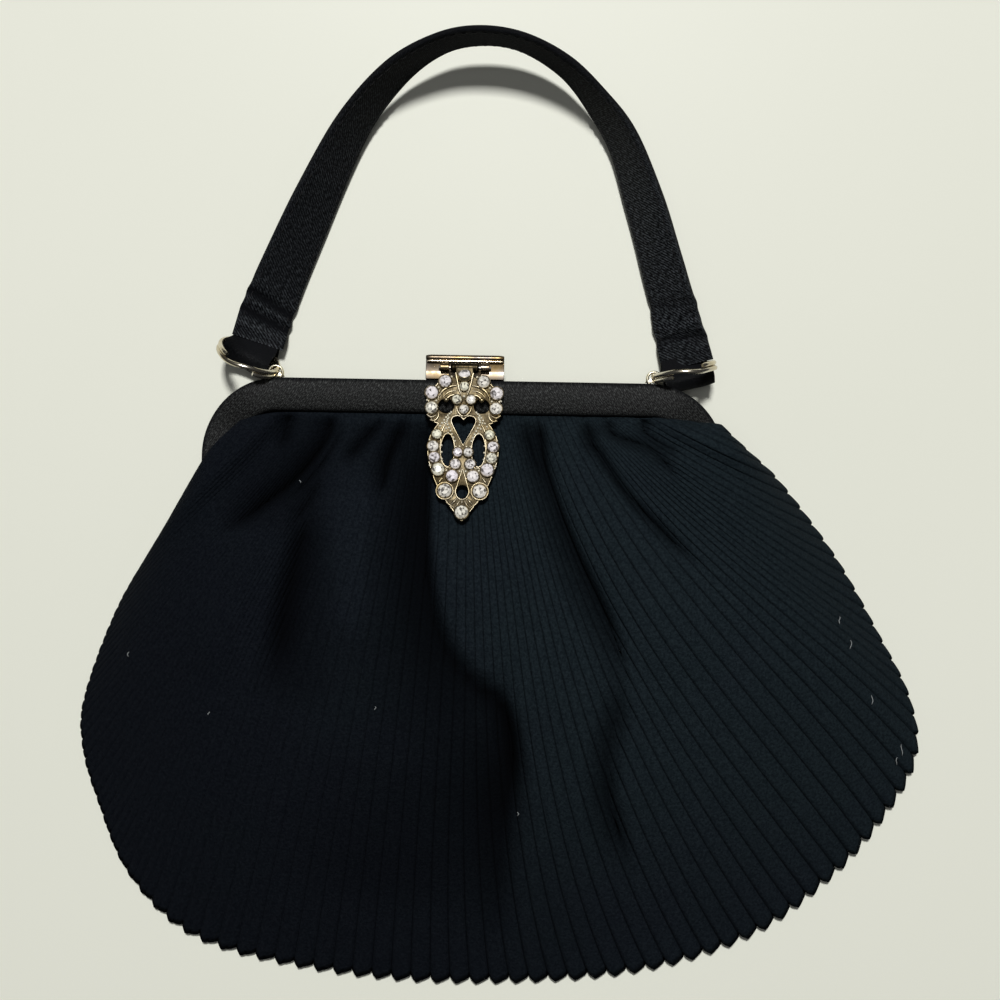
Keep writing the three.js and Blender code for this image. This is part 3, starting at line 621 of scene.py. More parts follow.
def pleat_places(handles, v):
    """Places along the pleats at shares of their curves, seen from above."""
    a, b, c, d = handles
    v = v[:, None, None]
    return (1 - v) ** 3 * a + 3 * (1 - v) ** 2 * v * b + 3 * (1 - v) * v**2 * c + v**3 * d


print(f"hem is {hem_run[-1]:.0f} mm long, middle at {hem_middle:.3f}")

# %% [markdown]
# ## The pouch: folds
# Gathered cloth doesn't hang evenly: the photograph shows a deep S shaped fold under the clasp, another to
# its right, a soft hollow on the left and short gathers along the frame. Each is a crease along a smooth
# line with a depth, a width to its left and right, and a share that is a sharp crease rather than a soft
# hollow. Rows with a depth below zero are the swells between them.

# %% Folds
def crease(deep, left, right, sharp, *line):
    return {"deep": deep, "left": left, "right": right, "sharp": sharp, "line": line}


FOLDS = (
    crease(3.4, 2.2, 3.0, 0.6, (-51.7, 25), (-52.6, 19.7), (-53.7, 14.0)),
    crease(5.0, 4.5, 2.4, 0.55, (-39.2, 25.2), (-40.8, 18.4), (-44.6, 11.5), (-51, 3.7), (-57.1, -1.5),
            (-63.8, -7.2), (-71.5, -12.1)),
    crease(2.0, 1.4, 2.2, 0.6, (-37.2, 19), (-41.5, 10.5), (-47.5, 3.0), (-53, -1.8)),
    crease(4.2, 3.2, 2.2, 0.55, (-22.5, 25.2), (-28.1, 18.6), (-32.1, 13.8), (-36.2, 10.7)),
    crease(4.2, 3.8, 2.2, 0.55, (-16.5, 25.2), (-19.4, 18.7), (-22.2, 11.9), (-23.3, 4.7), (-23.8, -0.3)),
    crease(3.0, 4.5, 2.4, 0.5, (-43, 3.8), (-45.6, -2.8), (-49.6, -8.2)),
    crease(5.6, 8.0, 2.8, 0.32, (-11.1, 25), (-11.4, 9.6), (-11, -0.7), (-10.8, -11.9), (-9.7, -24),
            (-7.1, -36.3), (-2.2, -45.9), (5, -53.5), (12.2, -59), (15.6, -67.8), (16.4, -79.5),
            (14.2, -92.8), (12.5, -109.1), (12.5, -126.8)),
    crease(4.6, 3.4, 5.2, 0.3, (-46.2, -9.8), (-48.1, -19.3), (-50, -29.1), (-51.8, -41.8), (-52.5, -57.1)),
    crease(5.6, 6.5, 2.4, 0.55, (22.3, 25), (23.6, 14.4), (25.8, 5.9), (30.7, -7.3), (35, -17.3),
            (40.8, -28.7), (46.4, -42.4), (48.1, -55.4)),
    crease(3.8, 5.5, 2.6, 0.45, (47.5, -60), (44.8, -72), (44.6, -85.3), (47.8, -97.1), (52.2, -109.5)),
    crease(1.9, 7.5, 4.5, 0.3, (12.2, -58), (16, -68), (17, -82), (15, -98), (13, -116), (12.5, -136)),
    crease(2.0, 2.6, 1.8, 0.6, (18.5, 25), (19.5, 18), (21.3, 12.7), (24.5, 4.5)),
    crease(5.0, 4.2, 2.4, 0.55, (36.6, 25), (38.4, 16.5), (40.2, 14.7), (45.1, 7.1), (49.9, 0.7),
            (57.5, -6.9), (65.3, -14.2), (70.7, -18.8)),
    crease(3.4, 2.8, 1.9, 0.6, (43.1, 25), (44.6, 19.9), (53.6, 16.8), (59.3, 12.1), (63.3, 6.6)),
    crease(2.8, 2.4, 1.7, 0.6, (53.5, 24), (54.2, 20.5), (59.2, 16.9), (64.3, 14.9)),
    crease(2.6, 15.0, 6.0, 0.0, (-17, 6), (-18, -15), (-16, -36), (-9, -53), (1, -66), (7, -84), (7, -108),
            (8, -128)),
    crease(1.4, 12.0, 10.0, 0.0, (-42, -20), (-45, -45), (-50, -64)),
    crease(1.4, 10.0, 9.0, 0.0, (-46, 16), (-55, 0), (-66, -16)),
    crease(1.5, 24.0, 18.0, 0.0, (-8, -80), (-13, -102), (-16, -128)),
    crease(1.4, 5.0, 5.0, 0.0, (0.5, -31.3), (6, -40.3), (12.6, -50.5), (18.7, -62.1)),
    crease(-2.6, 7.0, 13.0, 0.0, (-3, 12), (0, -10), (4, -28), (12, -44), (21, -60), (24, -80)),
    crease(-2.2, 9.0, 13.0, 0.0, (30, 12), (44, -10), (58, -32), (68, -56)),
    crease(-1.6, 8.0, 8.0, 0.0, (-27, 2), (-31, -20), (-30, -46)),
    crease(-1.6, 12.0, 8.0, 0.0, (-58, -12), (-67, -34), (-72, -56)),
)


def fold_depth(x, y):
    """How far the folds sink the cloth at each place."""
    total = np.zeros_like(x)
    for fold in FOLDS:
        line = smooth_line(fold["line"], 4)
        nearest = np.full_like(x, 1e9)
        aside, share = np.zeros_like(x), np.zeros_like(x)
        for k, (a, b) in enumerate(zip(line, line[1:])):
            run = b - a
            along = np.clip(((x - a[0]) * run[0] + (y - a[1]) * run[1]) / (run @ run), 0, 1)
            gap_x, gap_y = x - a[0] - along * run[0], y - a[1] - along * run[1]
            gap = np.hypot(gap_x, gap_y)
            closer = gap < nearest
            nearest = np.where(closer, gap, nearest)
            aside = np.where(closer, np.sign((x - a[0]) * run[1] - (y - a[1]) * run[0]) * gap, aside)
            share = np.where(closer, (k + along) / (len(line) - 1), share)
        width = np.where(aside > 0, fold["left"], fold["right"])
        fading = smooth_step(-0.15, 0.1, share) * (1 - 0.9 * smooth_step(0.7, 1.0, share))
        soft, sharp = np.exp(-((aside / width) ** 2)), np.exp(-np.abs(aside) / (0.32 * width))
        total += fading * fold["deep"] * ((1 - fold["sharp"]) * soft + fold["sharp"] * sharp)
    return total


print(len(FOLDS), "folds")

# %% [markdown]
# ## The pouch: heights
# The front swells between frame and hem, sinks in the folds and is held down by the lever. At both ends of
# the frame the cloth lies over the legs, so it starts higher there. The back lies flat on the table.

# %% Heights of front and back
LEVER_TILT = math.radians(-8.0)
PRESS_HALF, PRESS_END, PRESS_SOFT = 8.5, -8.0, 0.6
OVER_LEG = BAR_HEIGHT + 1.6 - MOUTH_HALF


def sunk(flat, v):
    """Depth of the folds, faded out at the frame and at the hem."""
    fading = smooth_step(0, 0.035, v) * (1 - smooth_step(0.86, 1, v))
    return fading * fold_depth(flat[..., 0], flat[..., 1])


def pressed(height, x, y):
    """The lever holds the cloth down where it lies on it, and the cloth swells up around it."""
    lever = HINGE[2] - 1.0 - (HINGE[1] - y) * math.tan(LEVER_TILT)
    aside = np.hypot(np.clip(np.abs(x) - PRESS_HALF, 0, None), np.clip(PRESS_END - y, 0, None))
    limit = lever + 0.05 * aside**2
    return -PRESS_SOFT * np.logaddexp(-height / PRESS_SOFT, -limit / PRESS_SOFT)


def front_height(spread_out, length, over, flat, v):
    start = FRAME_MID + MOUTH_HALF + OVER_LEG * over
    power = 2 + 6 * np.abs(spread_out) ** 6
    belly = BELLY * np.minimum(1, length / 150) ** 0.6
    v = v[:, None]
    rise = start + (HEM_HEIGHT - start) * v**power + belly * np.sin(math.pi * v)
    return pressed(rise - sunk(flat, v), flat[..., 0], flat[..., 1])


def back_height(over, v):
    start = FRAME_MID - MOUTH_HALF - OVER_LEG * over
    v = v[:, None]
    return start * (1 - smooth_step(0, 0.25, v)) + HEM_HEIGHT * smooth_step(0.8, 1, v)


print("the cloth starts between", FRAME_MID - MOUTH_HALF, "and", FRAME_MID + MOUTH_HALF, "mm above the table")

# %% [markdown]
# ## The pouch: its pleats
# A pressed pleat has a steep edge and a long gentle side, and all of them lie the same way round. That is
# why the creases look dark on one half of the bag and faint on the other. The skin has nine columns for
# each pleat, placed close together at the edge, and the pleat's height is added along the smooth surface's
# own normal. On the left half the pleats are pressed flatter, with a second crease in the middle of each.

# %% Pleats
PLEATS = 88
PLEAT_PROFILE = (
    (0.00, 0.00), (0.055, 0.74), (0.13, 0.98), (0.28, 1.00), (0.44, 0.96), (0.52, 0.93),
    (0.62, 0.89), (0.80, 0.80), (0.94, 0.66),
)
TOOTH_AT = 0.3
phases, profile = np.array(PLEAT_PROFILE).T
shares = np.append(((np.arange(PLEATS)[:, None] + phases) / PLEATS).ravel(), 1.0)
heights = np.append(np.tile(profile, PLEATS), 0.0)
pleat_phase = np.append(np.tile(phases, PLEATS), 0.0)
spread_out, length, over, handles = pleat_lines(shares)

leftness = 1 - smooth_step(-0.5, 0.15, spread_out)
near_edge = np.minimum(pleat_phase, 1 - pleat_phase)
shallow = 1 - 0.55 * np.exp(-((near_edge / 0.05) ** 2)) - 0.5 * np.exp(-(((pleat_phase - 0.52) / 0.06) ** 2))
heights = heights + leftness * (shallow - heights)


def tooth(tip):
    """Sawtooth of the hem: a quick way out to the tip and a long way back."""
    rising = pleat_phase / TOOTH_AT
    return tip * np.where(pleat_phase < TOOTH_AT, rising, (1 - pleat_phase) / (1 - TOOTH_AT))


def panel(v, facing):
    """The front for facing 1 or the back for -1, smooth, without pleats."""
    flat = pleat_places(handles, v)
    height = front_height(spread_out, length, over, flat, v) if facing > 0 else back_height(over, v)
    height = np.broadcast_to(height, flat.shape[:2])
    return np.concatenate([flat, height[..., None]], -1)


def pleated(smooth_panel, v, facing):
    """The panel with its pleats raised and its hem cut in teeth."""
    down, along = np.gradient(smooth_panel, axis=0), np.gradient(smooth_panel, axis=1)
    normal = -unit(np.cross(along, down))
    rightness = smooth_step(-0.4, 0.4, spread_out)
    rise = smooth_step(0.02, 0.36 - 0.16 * rightness, v[:, None])
    tall = 0.08 + 0.10 * rightness + (0.34 + 0.26 * rightness) * rise
    tall = tall + 0.30 * smooth_step(0.8, 1.0, v)[:, None]
    if facing < 0:
        lifted = np.zeros_like(smooth_panel)
        lifted[..., 2] = 0.6 * rise * (1 - heights)
        pleats = smooth_panel + lifted
    else:
        pleats = smooth_panel + normal * (tall * heights)[..., None]
    ahead = unit(smooth_panel[-1, :, :2] - smooth_panel[-2, :, :2])
    cut = 0.3 + 1.6 * smooth_step(-0.5, -0.33, spread_out) * (1 - smooth_step(0.55, 0.64, spread_out))
    outward = smooth_step(0.93, 1.0, v)[:, None] * tooth(cut) * smooth_step(0.0, 0.12, 1 - np.abs(spread_out))
    pleats[..., :2] += outward[..., None] * ahead
    return pleats


print(PLEATS, "pleats")

# %% [markdown]
# ## The pouch: its skin
# Front and back share the hem. The back is pressed flat on the table. An inner skin, with a third of the
# columns, gives the cloth its thickness and ends short of the hem.

# %% Skins of the pouch
WALL = 1.0
front_v = np.concatenate([
    np.linspace(0, 0.3, 20)[:-1], np.linspace(0.3, 0.92, 26)[:-1], np.linspace(0.92, 1, 8),
])
back_v = np.array([0, 0.04, 0.1, 0.17, 0.25, 0.36, 0.5, 0.65, 0.8, 0.87, 0.93, 0.96, 0.98, 1.0])
front = pleated(panel(front_v, 1), front_v, 1)
back = pleated(panel(back_v, -1), back_v, -1)
back[-1] = front[-1]
inner_front, inner_back = (
    panel(np.append(v[v < 0.94], 0.955), facing)[:, ::3] for v, facing in ((front_v, 1), (back_v, -1))
)
inner_front[..., 2] -= WALL
inner_back[..., 2] += WALL
inner_front[-1, :, 2] = inner_back[-1, :, 2] = (inner_front[-1, :, 2] + inner_back[-1, :, 2]) / 2

grids = (front, back[:-1], inner_front, inner_back[:-1])
sizes = [g.shape[0] * g.shape[1] for g in grids]
firsts = np.cumsum([0] + sizes)
front_ids, back_ids, inner_front_ids, inner_back_ids = (
    first + np.arange(size).reshape(g.shape[:2]) for first, size, g in zip(firsts, sizes, grids)
)
back_ids = np.vstack([back_ids, front_ids[-1]])
inner_back_ids = np.vstack([inner_back_ids, inner_front_ids[-1]])
print("skins of", sizes, "points")

# %% [markdown]
# The four skins are joined at the frame and at both sides. Their edges have different numbers of points, so
# triangles are zipped between them. The cloth keeps three values for its finish: how high a point lies on
# its pleat, how deep in a fold, and how much painted light it gets, which is most on the upper right. The
# crepe turns all three into painted shade: in the creases, in the folds and where the painted light is low.

# %% Pouch
DEEPEST = 9


def skin_faces(ids):
    corners = [ids[:-1, :-1], ids[:-1, 1:], ids[1:, 1:], ids[1:, :-1]]
    return np.stack(corners, -1).reshape(-1, 4).tolist()


def zip_faces(one, other):
    """Triangles between two lines that have different numbers of points."""
    faces, k, m = [], 0, 0
    while k + 1 < len(one) or m + 1 < len(other):
        one_next, other_next = (k + 1) / (len(one) - 1), (m + 1) / (len(other) - 1)
        if m + 1 >= len(other) or (k + 1 < len(one) and one_next <= other_next):
            faces.append([one[k], one[k + 1], other[m]])
            k += 1
        else:
            faces.append([one[k], other[m + 1], other[m]])
            m += 1
    return faces


skins = (front_ids, back_ids, inner_front_ids, inner_back_ids)
pouch_faces = sum((skin_faces(ids) for ids in skins), [])
for outer, inner in ((front_ids, inner_front_ids), (back_ids, inner_back_ids)):
    pouch_faces += zip_faces(outer[0].tolist(), inner[0].tolist())
for column in (0, -1):
    outer_edge = np.concatenate([front_ids[:, column], back_ids[-2::-1, column]])
    inner_edge = np.concatenate([inner_front_ids[:, column], inner_back_ids[-2::-1, column]])
    pouch_faces += zip_faces(outer_edge.tolist(), inner_edge.tolist())
pouch_points = np.concatenate([g.reshape(-1, 3) for g in grids])
pouch_cloth = make_piece(
    "pouch_cloth", pouch_points, pouch_faces, [crepe], replaces=["pouch"]
)
# How high a point lies on its pleat. The crepe paints shade where this is low, in the pleats' creases, and
# the inner skins get a middling value.
ridge_values = [np.broadcast_to(heights, g.shape[:2]).ravel() for g in grids[:2]]
ridge_values += [np.full(size, 0.4) for size in sizes[2:]]
note(pouch_cloth, "ridge", np.concatenate(ridge_values))
# Painted shade: how deep each point lies in a fold, by which the crepe darkens its colour.
hollow = sunk(pleat_places(handles, front_v), front_v[:, None]).ravel()
hollow = (np.clip(hollow, 0, DEEPEST) / DEEPEST) ** 0.5
note(pouch_cloth, "hollow", np.concatenate([hollow, np.zeros(len(pouch_points) - len(hollow))]))
# Painted light: the crepe's colour is paler on the upper right and darker to the left and low down, standing
# in for how the lamp falls on the pouch.
above = pouch_points[:, 1] + 60
aloft = 0.25 * np.clip(above, 0, 55) * smooth_step(-60, -5, pouch_points[:, 0])
painted_light = smooth_step(-75, 45, pouch_points[:, 0] + 0.5 * np.minimum(above, 0) + aloft)
painted_light *= 1 - 0.45 * smooth_step(10, 75, -above)
note(pouch_cloth, "painted_light", painted_light)

# %% [markdown]
# A few pale fibres cling to the crepe, most of them near the right hem. They are short bent threads. Each
# is put down on the cloth by looking for the front skin's nearest points and taking the highest of them.

# %% Lint
LINT_AT = (
    (112.3, -33.8, 2.2), (115.8, -41.0, 2.6), (123.0, -57.6, 2.8), (134.0, -73.5, 3.4),
    (132.6, -77.0, 2.6), (-98.0, -47.5, 1.4), (-72.5, -63.5, 1.0), (-24.0, -61.0, 1.0),
    (18.0, -92.0, 1.0), (-48.0, 4.5, 0.8),
)
LINT_R, LINT_LIFT = 0.13, 0.12
front_points = front.reshape(-1, 3)
fibres = []
for k, (x, y, long) in enumerate(LINT_AT):
    run = np.linspace(-0.5, 0.5, 6)
    path = np.column_stack([x + 0.25 * np.sin(run * 5 + k), y + long * run, 0 * run])
    for spot_on in path:
        near = np.hypot(*(front_points[:, :2] - spot_on[:2]).T).argsort()[:6]
        spot_on[2] = front_points[near, 2].max() + LINT_LIFT
    fibres.append(tube(path, LINT_R * np.array([0.4, 1, 1, 1, 1, 0.4]), sides=6))
points, faces = joined(fibres)
fluff, tree, surface = shader("lint_fibre", {"Roughness": 0.9, "Specular IOR Level": 0.1})
fuzz = noise(tree, object_place(tree), 2500.0, 2.0)
feed(tree, surface["Base Color"], mix_colour(tree, fuzz, (0.10, 0.11, 0.11), (0.42, 0.44, 0.44)))
make_piece("pouch_lint", points, faces, [fluff])

# %% [markdown]
# ## The frame
# Two bars, one on the other, are covered in satin and bent down at both ends into short legs. A bar is a
# loft: one rounded section is carried along the outer edge, which runs straight, round a corner and down
# the leg. The satin is cut straight, so its threads keep one direction round the corner, mirrored on the
# other side. Its two rounded edges carry painted shade, as they turn away from the light, and are rougher.

# %% Frame bars
BAR_SECTION = np.array([
    (0.9, 0.0), (0.25, 0.04), (0.0, 0.16), (0.0, 0.45), (0.02, 0.68), (0.22, 0.80), (0.65, 0.885),
    (1.3, 0.935), (2.4, 0.965), (3.7, 0.988), (5.0, 1.0), (6.3, 0.988), (7.6, 0.965), (8.7, 0.935),
    (9.35, 0.885), (9.78, 0.80), (9.98, 0.68), (10.0, 0.45), (10.0, 0.16), (9.75, 0.04), (9.1, 0.0),
])
LEG_HEIGHT, LEG_LENGTH, HALF_GAP = 2.8, 3.0, 0.15
CORNER_RUN = FRAME_CORNER * math.pi / 2
EDGE_END = STRAIGHT + CORNER_RUN + LEG_LENGTH


def frame_edge(distance):
    """Place, inward direction and bar height at a distance from the middle along the outer edge."""
    run = np.abs(distance)
    angle = np.clip((run - STRAIGHT) / FRAME_CORNER, 0, math.pi / 2)
    leg = np.maximum(0, run - STRAIGHT - CORNER_RUN)
    x = np.sign(distance) * (np.minimum(run, STRAIGHT) + FRAME_CORNER * np.sin(angle))
    y = FRAME_TOP - FRAME_CORNER * (1 - np.cos(angle)) - leg
    inward = np.stack([-np.sign(distance) * np.sin(angle), -np.cos(angle)], -1)
    height = BAR_HEIGHT + (LEG_HEIGHT - BAR_HEIGHT) * smooth_step(0.35, 1.2, angle)
    return np.stack([x, y], -1), inward, height


half_run = np.concatenate([
    np.linspace(0, STRAIGHT, 14)[:-1], STRAIGHT + np.linspace(0, CORNER_RUN, 22), [EDGE_END],
])
runs = np.concatenate([-half_run[:0:-1], half_run])
edge, inward, bar_height = frame_edge(runs)
# Painted shade on both rounded edges of the bar's section, which turn away from the light.
edge_shade = np.interp(BAR_SECTION[:, 0], (0.3, 1.3, 9.4, 9.9), (0.95, 0.0, 0.0, 0.8))
for facing, word in ((1, "front"), (-1, "back")):
    flat = edge[:, None] + inward[:, None] * BAR_SECTION[:, :1]
    z = FRAME_MID + facing * (HALF_GAP + (bar_height[:, None] - HALF_GAP) * BAR_SECTION[:, 1])
    points, faces = loft(np.concatenate([flat, z[..., None]], -1))
    bar = make_piece(
        f"frame_cover_{word}", points, faces, [frame_satin], replaces=[f"frame_{word}"],
        sharp_deg=60,
    )
    note(bar, "thread", np.abs(points) * (1, 0, 0) + points * (0, 1, 0) + points[:, 2:] * (0, 1, 0))
    note(bar, "edge", np.tile(edge_shade, len(runs)))

# %% [markdown]
# The two bars turn on a short rivet at the end of each leg. It is a turned pin with rounded ends, hidden by
# the cloth in the photograph.

# %% Frame rivets
def turned_pin(middle, half_length, radius, sides=20):
    """Pin along X with rounded ends."""
    ends = np.array([(-1.0, 0.72), (-0.94, 0.92), (-0.86, 1.0), (0.86, 1.0), (0.94, 0.92), (1.0, 0.72)])
    path = np.asarray(middle) + ends[:, :1] * np.array([half_length, 0, 0])
    return tube(path, radius * ends[:, 1], sides=sides)


RIVET_HALF, RIVET_R = 2.0, 1.3
leg_end = frame_edge(np.array([EDGE_END]))[0][0]
for side, word in ((-1, "left"), (1, "right")):
    middle = (side * (leg_end[0] - FRAME_BAND + 3), leg_end[1] - 1.6, FRAME_MID)
    points, faces = turned_pin(middle, RIVET_HALF, RIVET_R)
    make_piece(
        f"frame_rivet_{word}", points, faces, [pin_steel], replaces=[f"hinge_pin_{word}"],
        sharp_deg=50,
    )

# %% [markdown]
# ## The strap
# The strap is a flat satin band that stands on its edge at the top and leans outwards on the way down, so
# both legs show its stitched inner side, and the arch's shadow lies clear of it on the table. It is
# modelled directly: a rounded section follows the band's middle line and turns with it. Each row of the
# table is a place on that line and the angle of the band's outer face above level.

# %% Strap line
STRAP_LINE = (
    (-63.1, 46.4, 5.6, -84), (-59.2, 59.0, 5.2, -66), (-46.4, 88.8, 7.2, -45),
    (-34.5, 112.2, 10.0, -28), (-22.2, 126.5, 14.0, -15), (-8.9, 134.4, 17.4, -4),
    (3.4, 136.7, 18.4, 0), (16.2, 135.0, 17.6, 0), (28.7, 128.7, 14.6, -6),
    (38.7, 118.9, 11.6, -16), (46.4, 107.7, 9.8, -25), (53.0, 90.3, 8.2, -37),
    (58.4, 72.8, 7.7, -43), (62.1, 60.0, 7.1, -48), (67.2, 41.7, 5.6, -74),
)
HALF_WIDTH, HALF_THICK, EDGE_FALL = 8.0, 1.1, 0.22
UP = np.array([0.0, 0.0, 1.0])
strap_way = smooth_line(STRAP_LINE, 24)
strap_mid, face_up = strap_way[:, :3], np.radians(strap_way[:, 3])
strap_run = run_along(strap_mid)
ahead = unit(np.gradient(strap_mid, axis=0))
outward = unit(np.stack([-ahead[:, 1], ahead[:, 0], np.zeros(len(ahead))], -1))
face = np.cos(face_up)[:, None] * outward + np.sin(face_up)[:, None] * UP
crosswise = unit(np.cross(ahead, face))


def half_thick(share):
    """Half of the band's thickness at a share of its half width."""
    return HALF_THICK * (1 - EDGE_FALL * np.abs(share) ** 3)


side_steps = np.linspace(-0.93, 0.93, 15)
one_side = np.stack([side_steps * HALF_WIDTH, half_thick(side_steps)], -1)
round_edge = np.array([(7.86, 0.72), (8.0, 0.3), (8.0, -0.3), (7.86, -0.72)])
strap_section = np.vstack([one_side, round_edge, one_side[::-1] * (1, -1), -round_edge])
print(f"strap band is {strap_run[-1]:.0f} mm long")

# %% [markdown]
# Near both ends the band has dents and short folds from years of hanging, which show as dark and light
# streaks. Each row of the two tables is a ridge across the band: the end it is near, its height, its
# distance from that end, its slant and its width. The lamp catches the slanted twill on the right leg,
# while the left leg looks plain, so the band also keeps how plain it is at each point.

# %% Strap band
STRAP_DENTS = (
    ("left", 0.6, 9.0, 0.22, 1.1), ("left", 0.5, 13.5, -0.15, 1.3), ("right", 0.36, 8.0, -0.18, 1.3),
    ("right", 0.40, 13.0, 0.25, 1.5),
)
STRAP_BENDS = (
    ("left", -0.6, 3.6, 0.08, 1.5), ("left", 0.8, 7.3, 0.14, 1.2), ("left", -0.7, 9.9, 0.16, 1.3),
    ("left", 0.9, 12.4, 0.17, 1.2), ("left", -0.4, 15.4, 0.15, 1.6), ("right", 0.7, 8.5, -0.12, 1.3),
    ("right", -0.5, 12.0, -0.14, 1.7), ("right", 0.5, 19.0, -0.14, 1.4),
)
PLAIN_AT = (0.0, 0.006, 0.1, 0.25, 0.42, 0.6, 0.78, 0.94, 1.0)
PLAIN_HERE = (0.0, 0.55, 0.60, 0.56, 0.85, 0.85, 0.05, 0.05, 0.4)


def ridges_across(rows, run, across):
    total = 0.0 * run * across
    for end, high, at, slant, wide in rows:
        from_end = run if end == "left" else strap_run[-1] - run
        total = total + high * np.exp(-(((from_end - at - slant * across) / wide) ** 2))
    return total


def strap_dent(run, across):
    """Dents that thin the band, and faint waves along it."""
    waves = 0.10 * np.sin(run * 0.19 + 0.3 * across) * np.sin(run * 0.051)
    return ridges_across(STRAP_DENTS, run, across) + waves


def strap_bend(run, across):
    """Short folds of the whole band."""
    return ridges_across(STRAP_BENDS, run, across)


across, out = strap_section[:, 0], strap_section[:, 1]
dented = out - np.sign(out) * strap_dent(strap_run[:, None], across) * (np.abs(across) < 7.9)
dented += strap_bend(strap_run[:, None], across)
sections = strap_mid[:, None] + crosswise[:, None] * across[:, None] + face[:, None] * dented[..., None]
points, faces = loft(sections)
strap_band = make_piece(
    "strap_band", points, faces, [strap_satin, strap_twill], replaces=["strap"], sharp_deg=70
)
inner_side = {k for k in range(len(strap_section)) if out[k] + out[(k + 1) % len(out)] < -0.5}
for polygon in strap_band.data.polygons:
    if polygon.index < len(faces) - 2 and polygon.index % len(strap_section) in inner_side:
        polygon.material_index = 1
wrap = np.broadcast_to(across + 2 * out, (len(strap_run), len(across)))
lengthwise = np.broadcast_to(strap_run[:, None], wrap.shape)
note(strap_band, "thread", np.stack([lengthwise, wrap, 0 * wrap], -1).reshape(-1, 3))
# Painted light: where the band is plain its colour goes to plain dark satin, so the lamp's sheen on the twill
# is painted on the right leg and at the very tip of the left end, not on the left leg. The short folds add
# painted shade in their troughs and painted highlights on their crests.
plain = np.interp(strap_run / strap_run[-1], PLAIN_AT, PLAIN_HERE)[:, None]
plain = np.clip(plain + 0.65 * strap_bend(strap_run[:, None], across), 0, 1)
note(strap_band, "edge", plain.ravel())

# %% [markdown]
# Two rows of sewing hold the band's folded edges on its inner side. Each stitch is a short flattened thread
# that dips into the satin at both ends. Hundreds of small shells are joined in one mesh, which stays quick.

# %% Strap stitches
STITCH, STITCH_STEP, STITCH_ROW = 2.1, 3.0, 6.4
STITCH_RISE = np.array([-0.16, 0.04, 0.10, 0.04, -0.16])
STITCH_RADIUS = 0.2 * np.array([0.7, 1.0, 1.0, 1.0, 0.7])


def on_strap(run, across, out):
    """Places on the band at a run along it."""
    middle, aside, outside = (
        np.stack([np.interp(run, strap_run, line[:, k]) for k in range(3)], -1)
        for line in (strap_mid, crosswise, face)
    )
    return middle + aside * across + outside * out[:, None]


stitches = []
for row in (-STITCH_ROW, STITCH_ROW):
    for begin in np.arange(6.0, strap_run[-1] - 8.0, STITCH_STEP):
        run = begin + np.linspace(0, STITCH, 5)
        skin = half_thick(STITCH_ROW / HALF_WIDTH) - strap_dent(run, row)
        path = on_strap(run, row, strap_bend(run, row) - skin - STITCH_RISE)
        up = np.array([np.interp(begin, strap_run, face[:, k]) for k in range(3)])
        stitches.append(tube(path, STITCH_RADIUS, up=up, sides=6))
points, faces = joined(stitches)
strap_stitches = make_piece("strap_stitches", points, faces, [sewing_thread])
note(strap_stitches, "thread", points)
print(len(stitches), "stitches")

# %% [markdown]
# ## Split rings
# Each ring is one wire wound almost twice. It stands upright in its eyelet, and the strap's end loop goes
# round it. The wire's middle line is a circle that steps sideways once, so the two turns lie side by side.

# %% Split rings
RING_R, WIRE_R, COIL_STEP, RING_Z = 9.2, 0.74, 1.56, 12.15
EYELET = np.array([56.6, 37.0, 10.9])
RINGS = (
    {"word": "left", "side": -1, "turn": 152.0, "lean": 22.0, "tab": 155.0, "slide": 1.3, "reach": 6.8},
    {"word": "right", "side": 1, "turn": 14.0, "lean": 4.0, "tab": 14.0, "slide": 1.4, "reach": 5.4},
)


def ring_axes(ring):
    """A ring's centre, two directions in its plane and the one through it."""
    turn, lean = math.radians(ring["turn"]), math.radians(ring["lean"])
    across = np.array([math.cos(turn), math.sin(turn), 0.0])
    to_strap = np.array([-across[1], across[0], 0.0]) * ring["side"]
    up = UP * math.cos(lean) - to_strap * math.sin(lean)
    through = to_strap * math.cos(lean) + UP * math.sin(lean)
    reach = math.sqrt(RING_R**2 - (RING_Z - EYELET[2]) ** 2)
    centre = EYELET * (ring["side"], 1, 0) + across * reach + UP * RING_Z
    return centre, across, up, through


for ring in RINGS:
    centre, across_ring, up, through = ring_axes(ring)
    degrees = np.linspace(-300, 360, 150)
    angle = np.radians(degrees + 60)[:, None]
    shift = COIL_STEP * (smooth_step(0, 60, degrees) - 0.5)[:, None]
    path = centre + RING_R * (across_ring * np.cos(angle) + up * np.sin(angle)) + through * shift
    thin = np.minimum(1, 0.75 + 0.25 * np.minimum(degrees + 300, 360 - degrees) / 4)
    points, faces = tube(path, WIRE_R * thin, up=through, sides=14)
    make_piece(
        f"split_ring_{ring['word']}", points, faces, [ring_wire],
        replaces=[f"ring_{ring['word']}"], sharp_deg=60,
    )

# %% [markdown]
# ## Strap loops
# A thinner satin tab goes round each ring and back into the end of the band. Seen from the side it is a
# drop shaped line, so the tab is a flat section carried round that line. The ring is hardly wider than the
# tab, so its curve lifts the tab's two edges and the section is cupped.

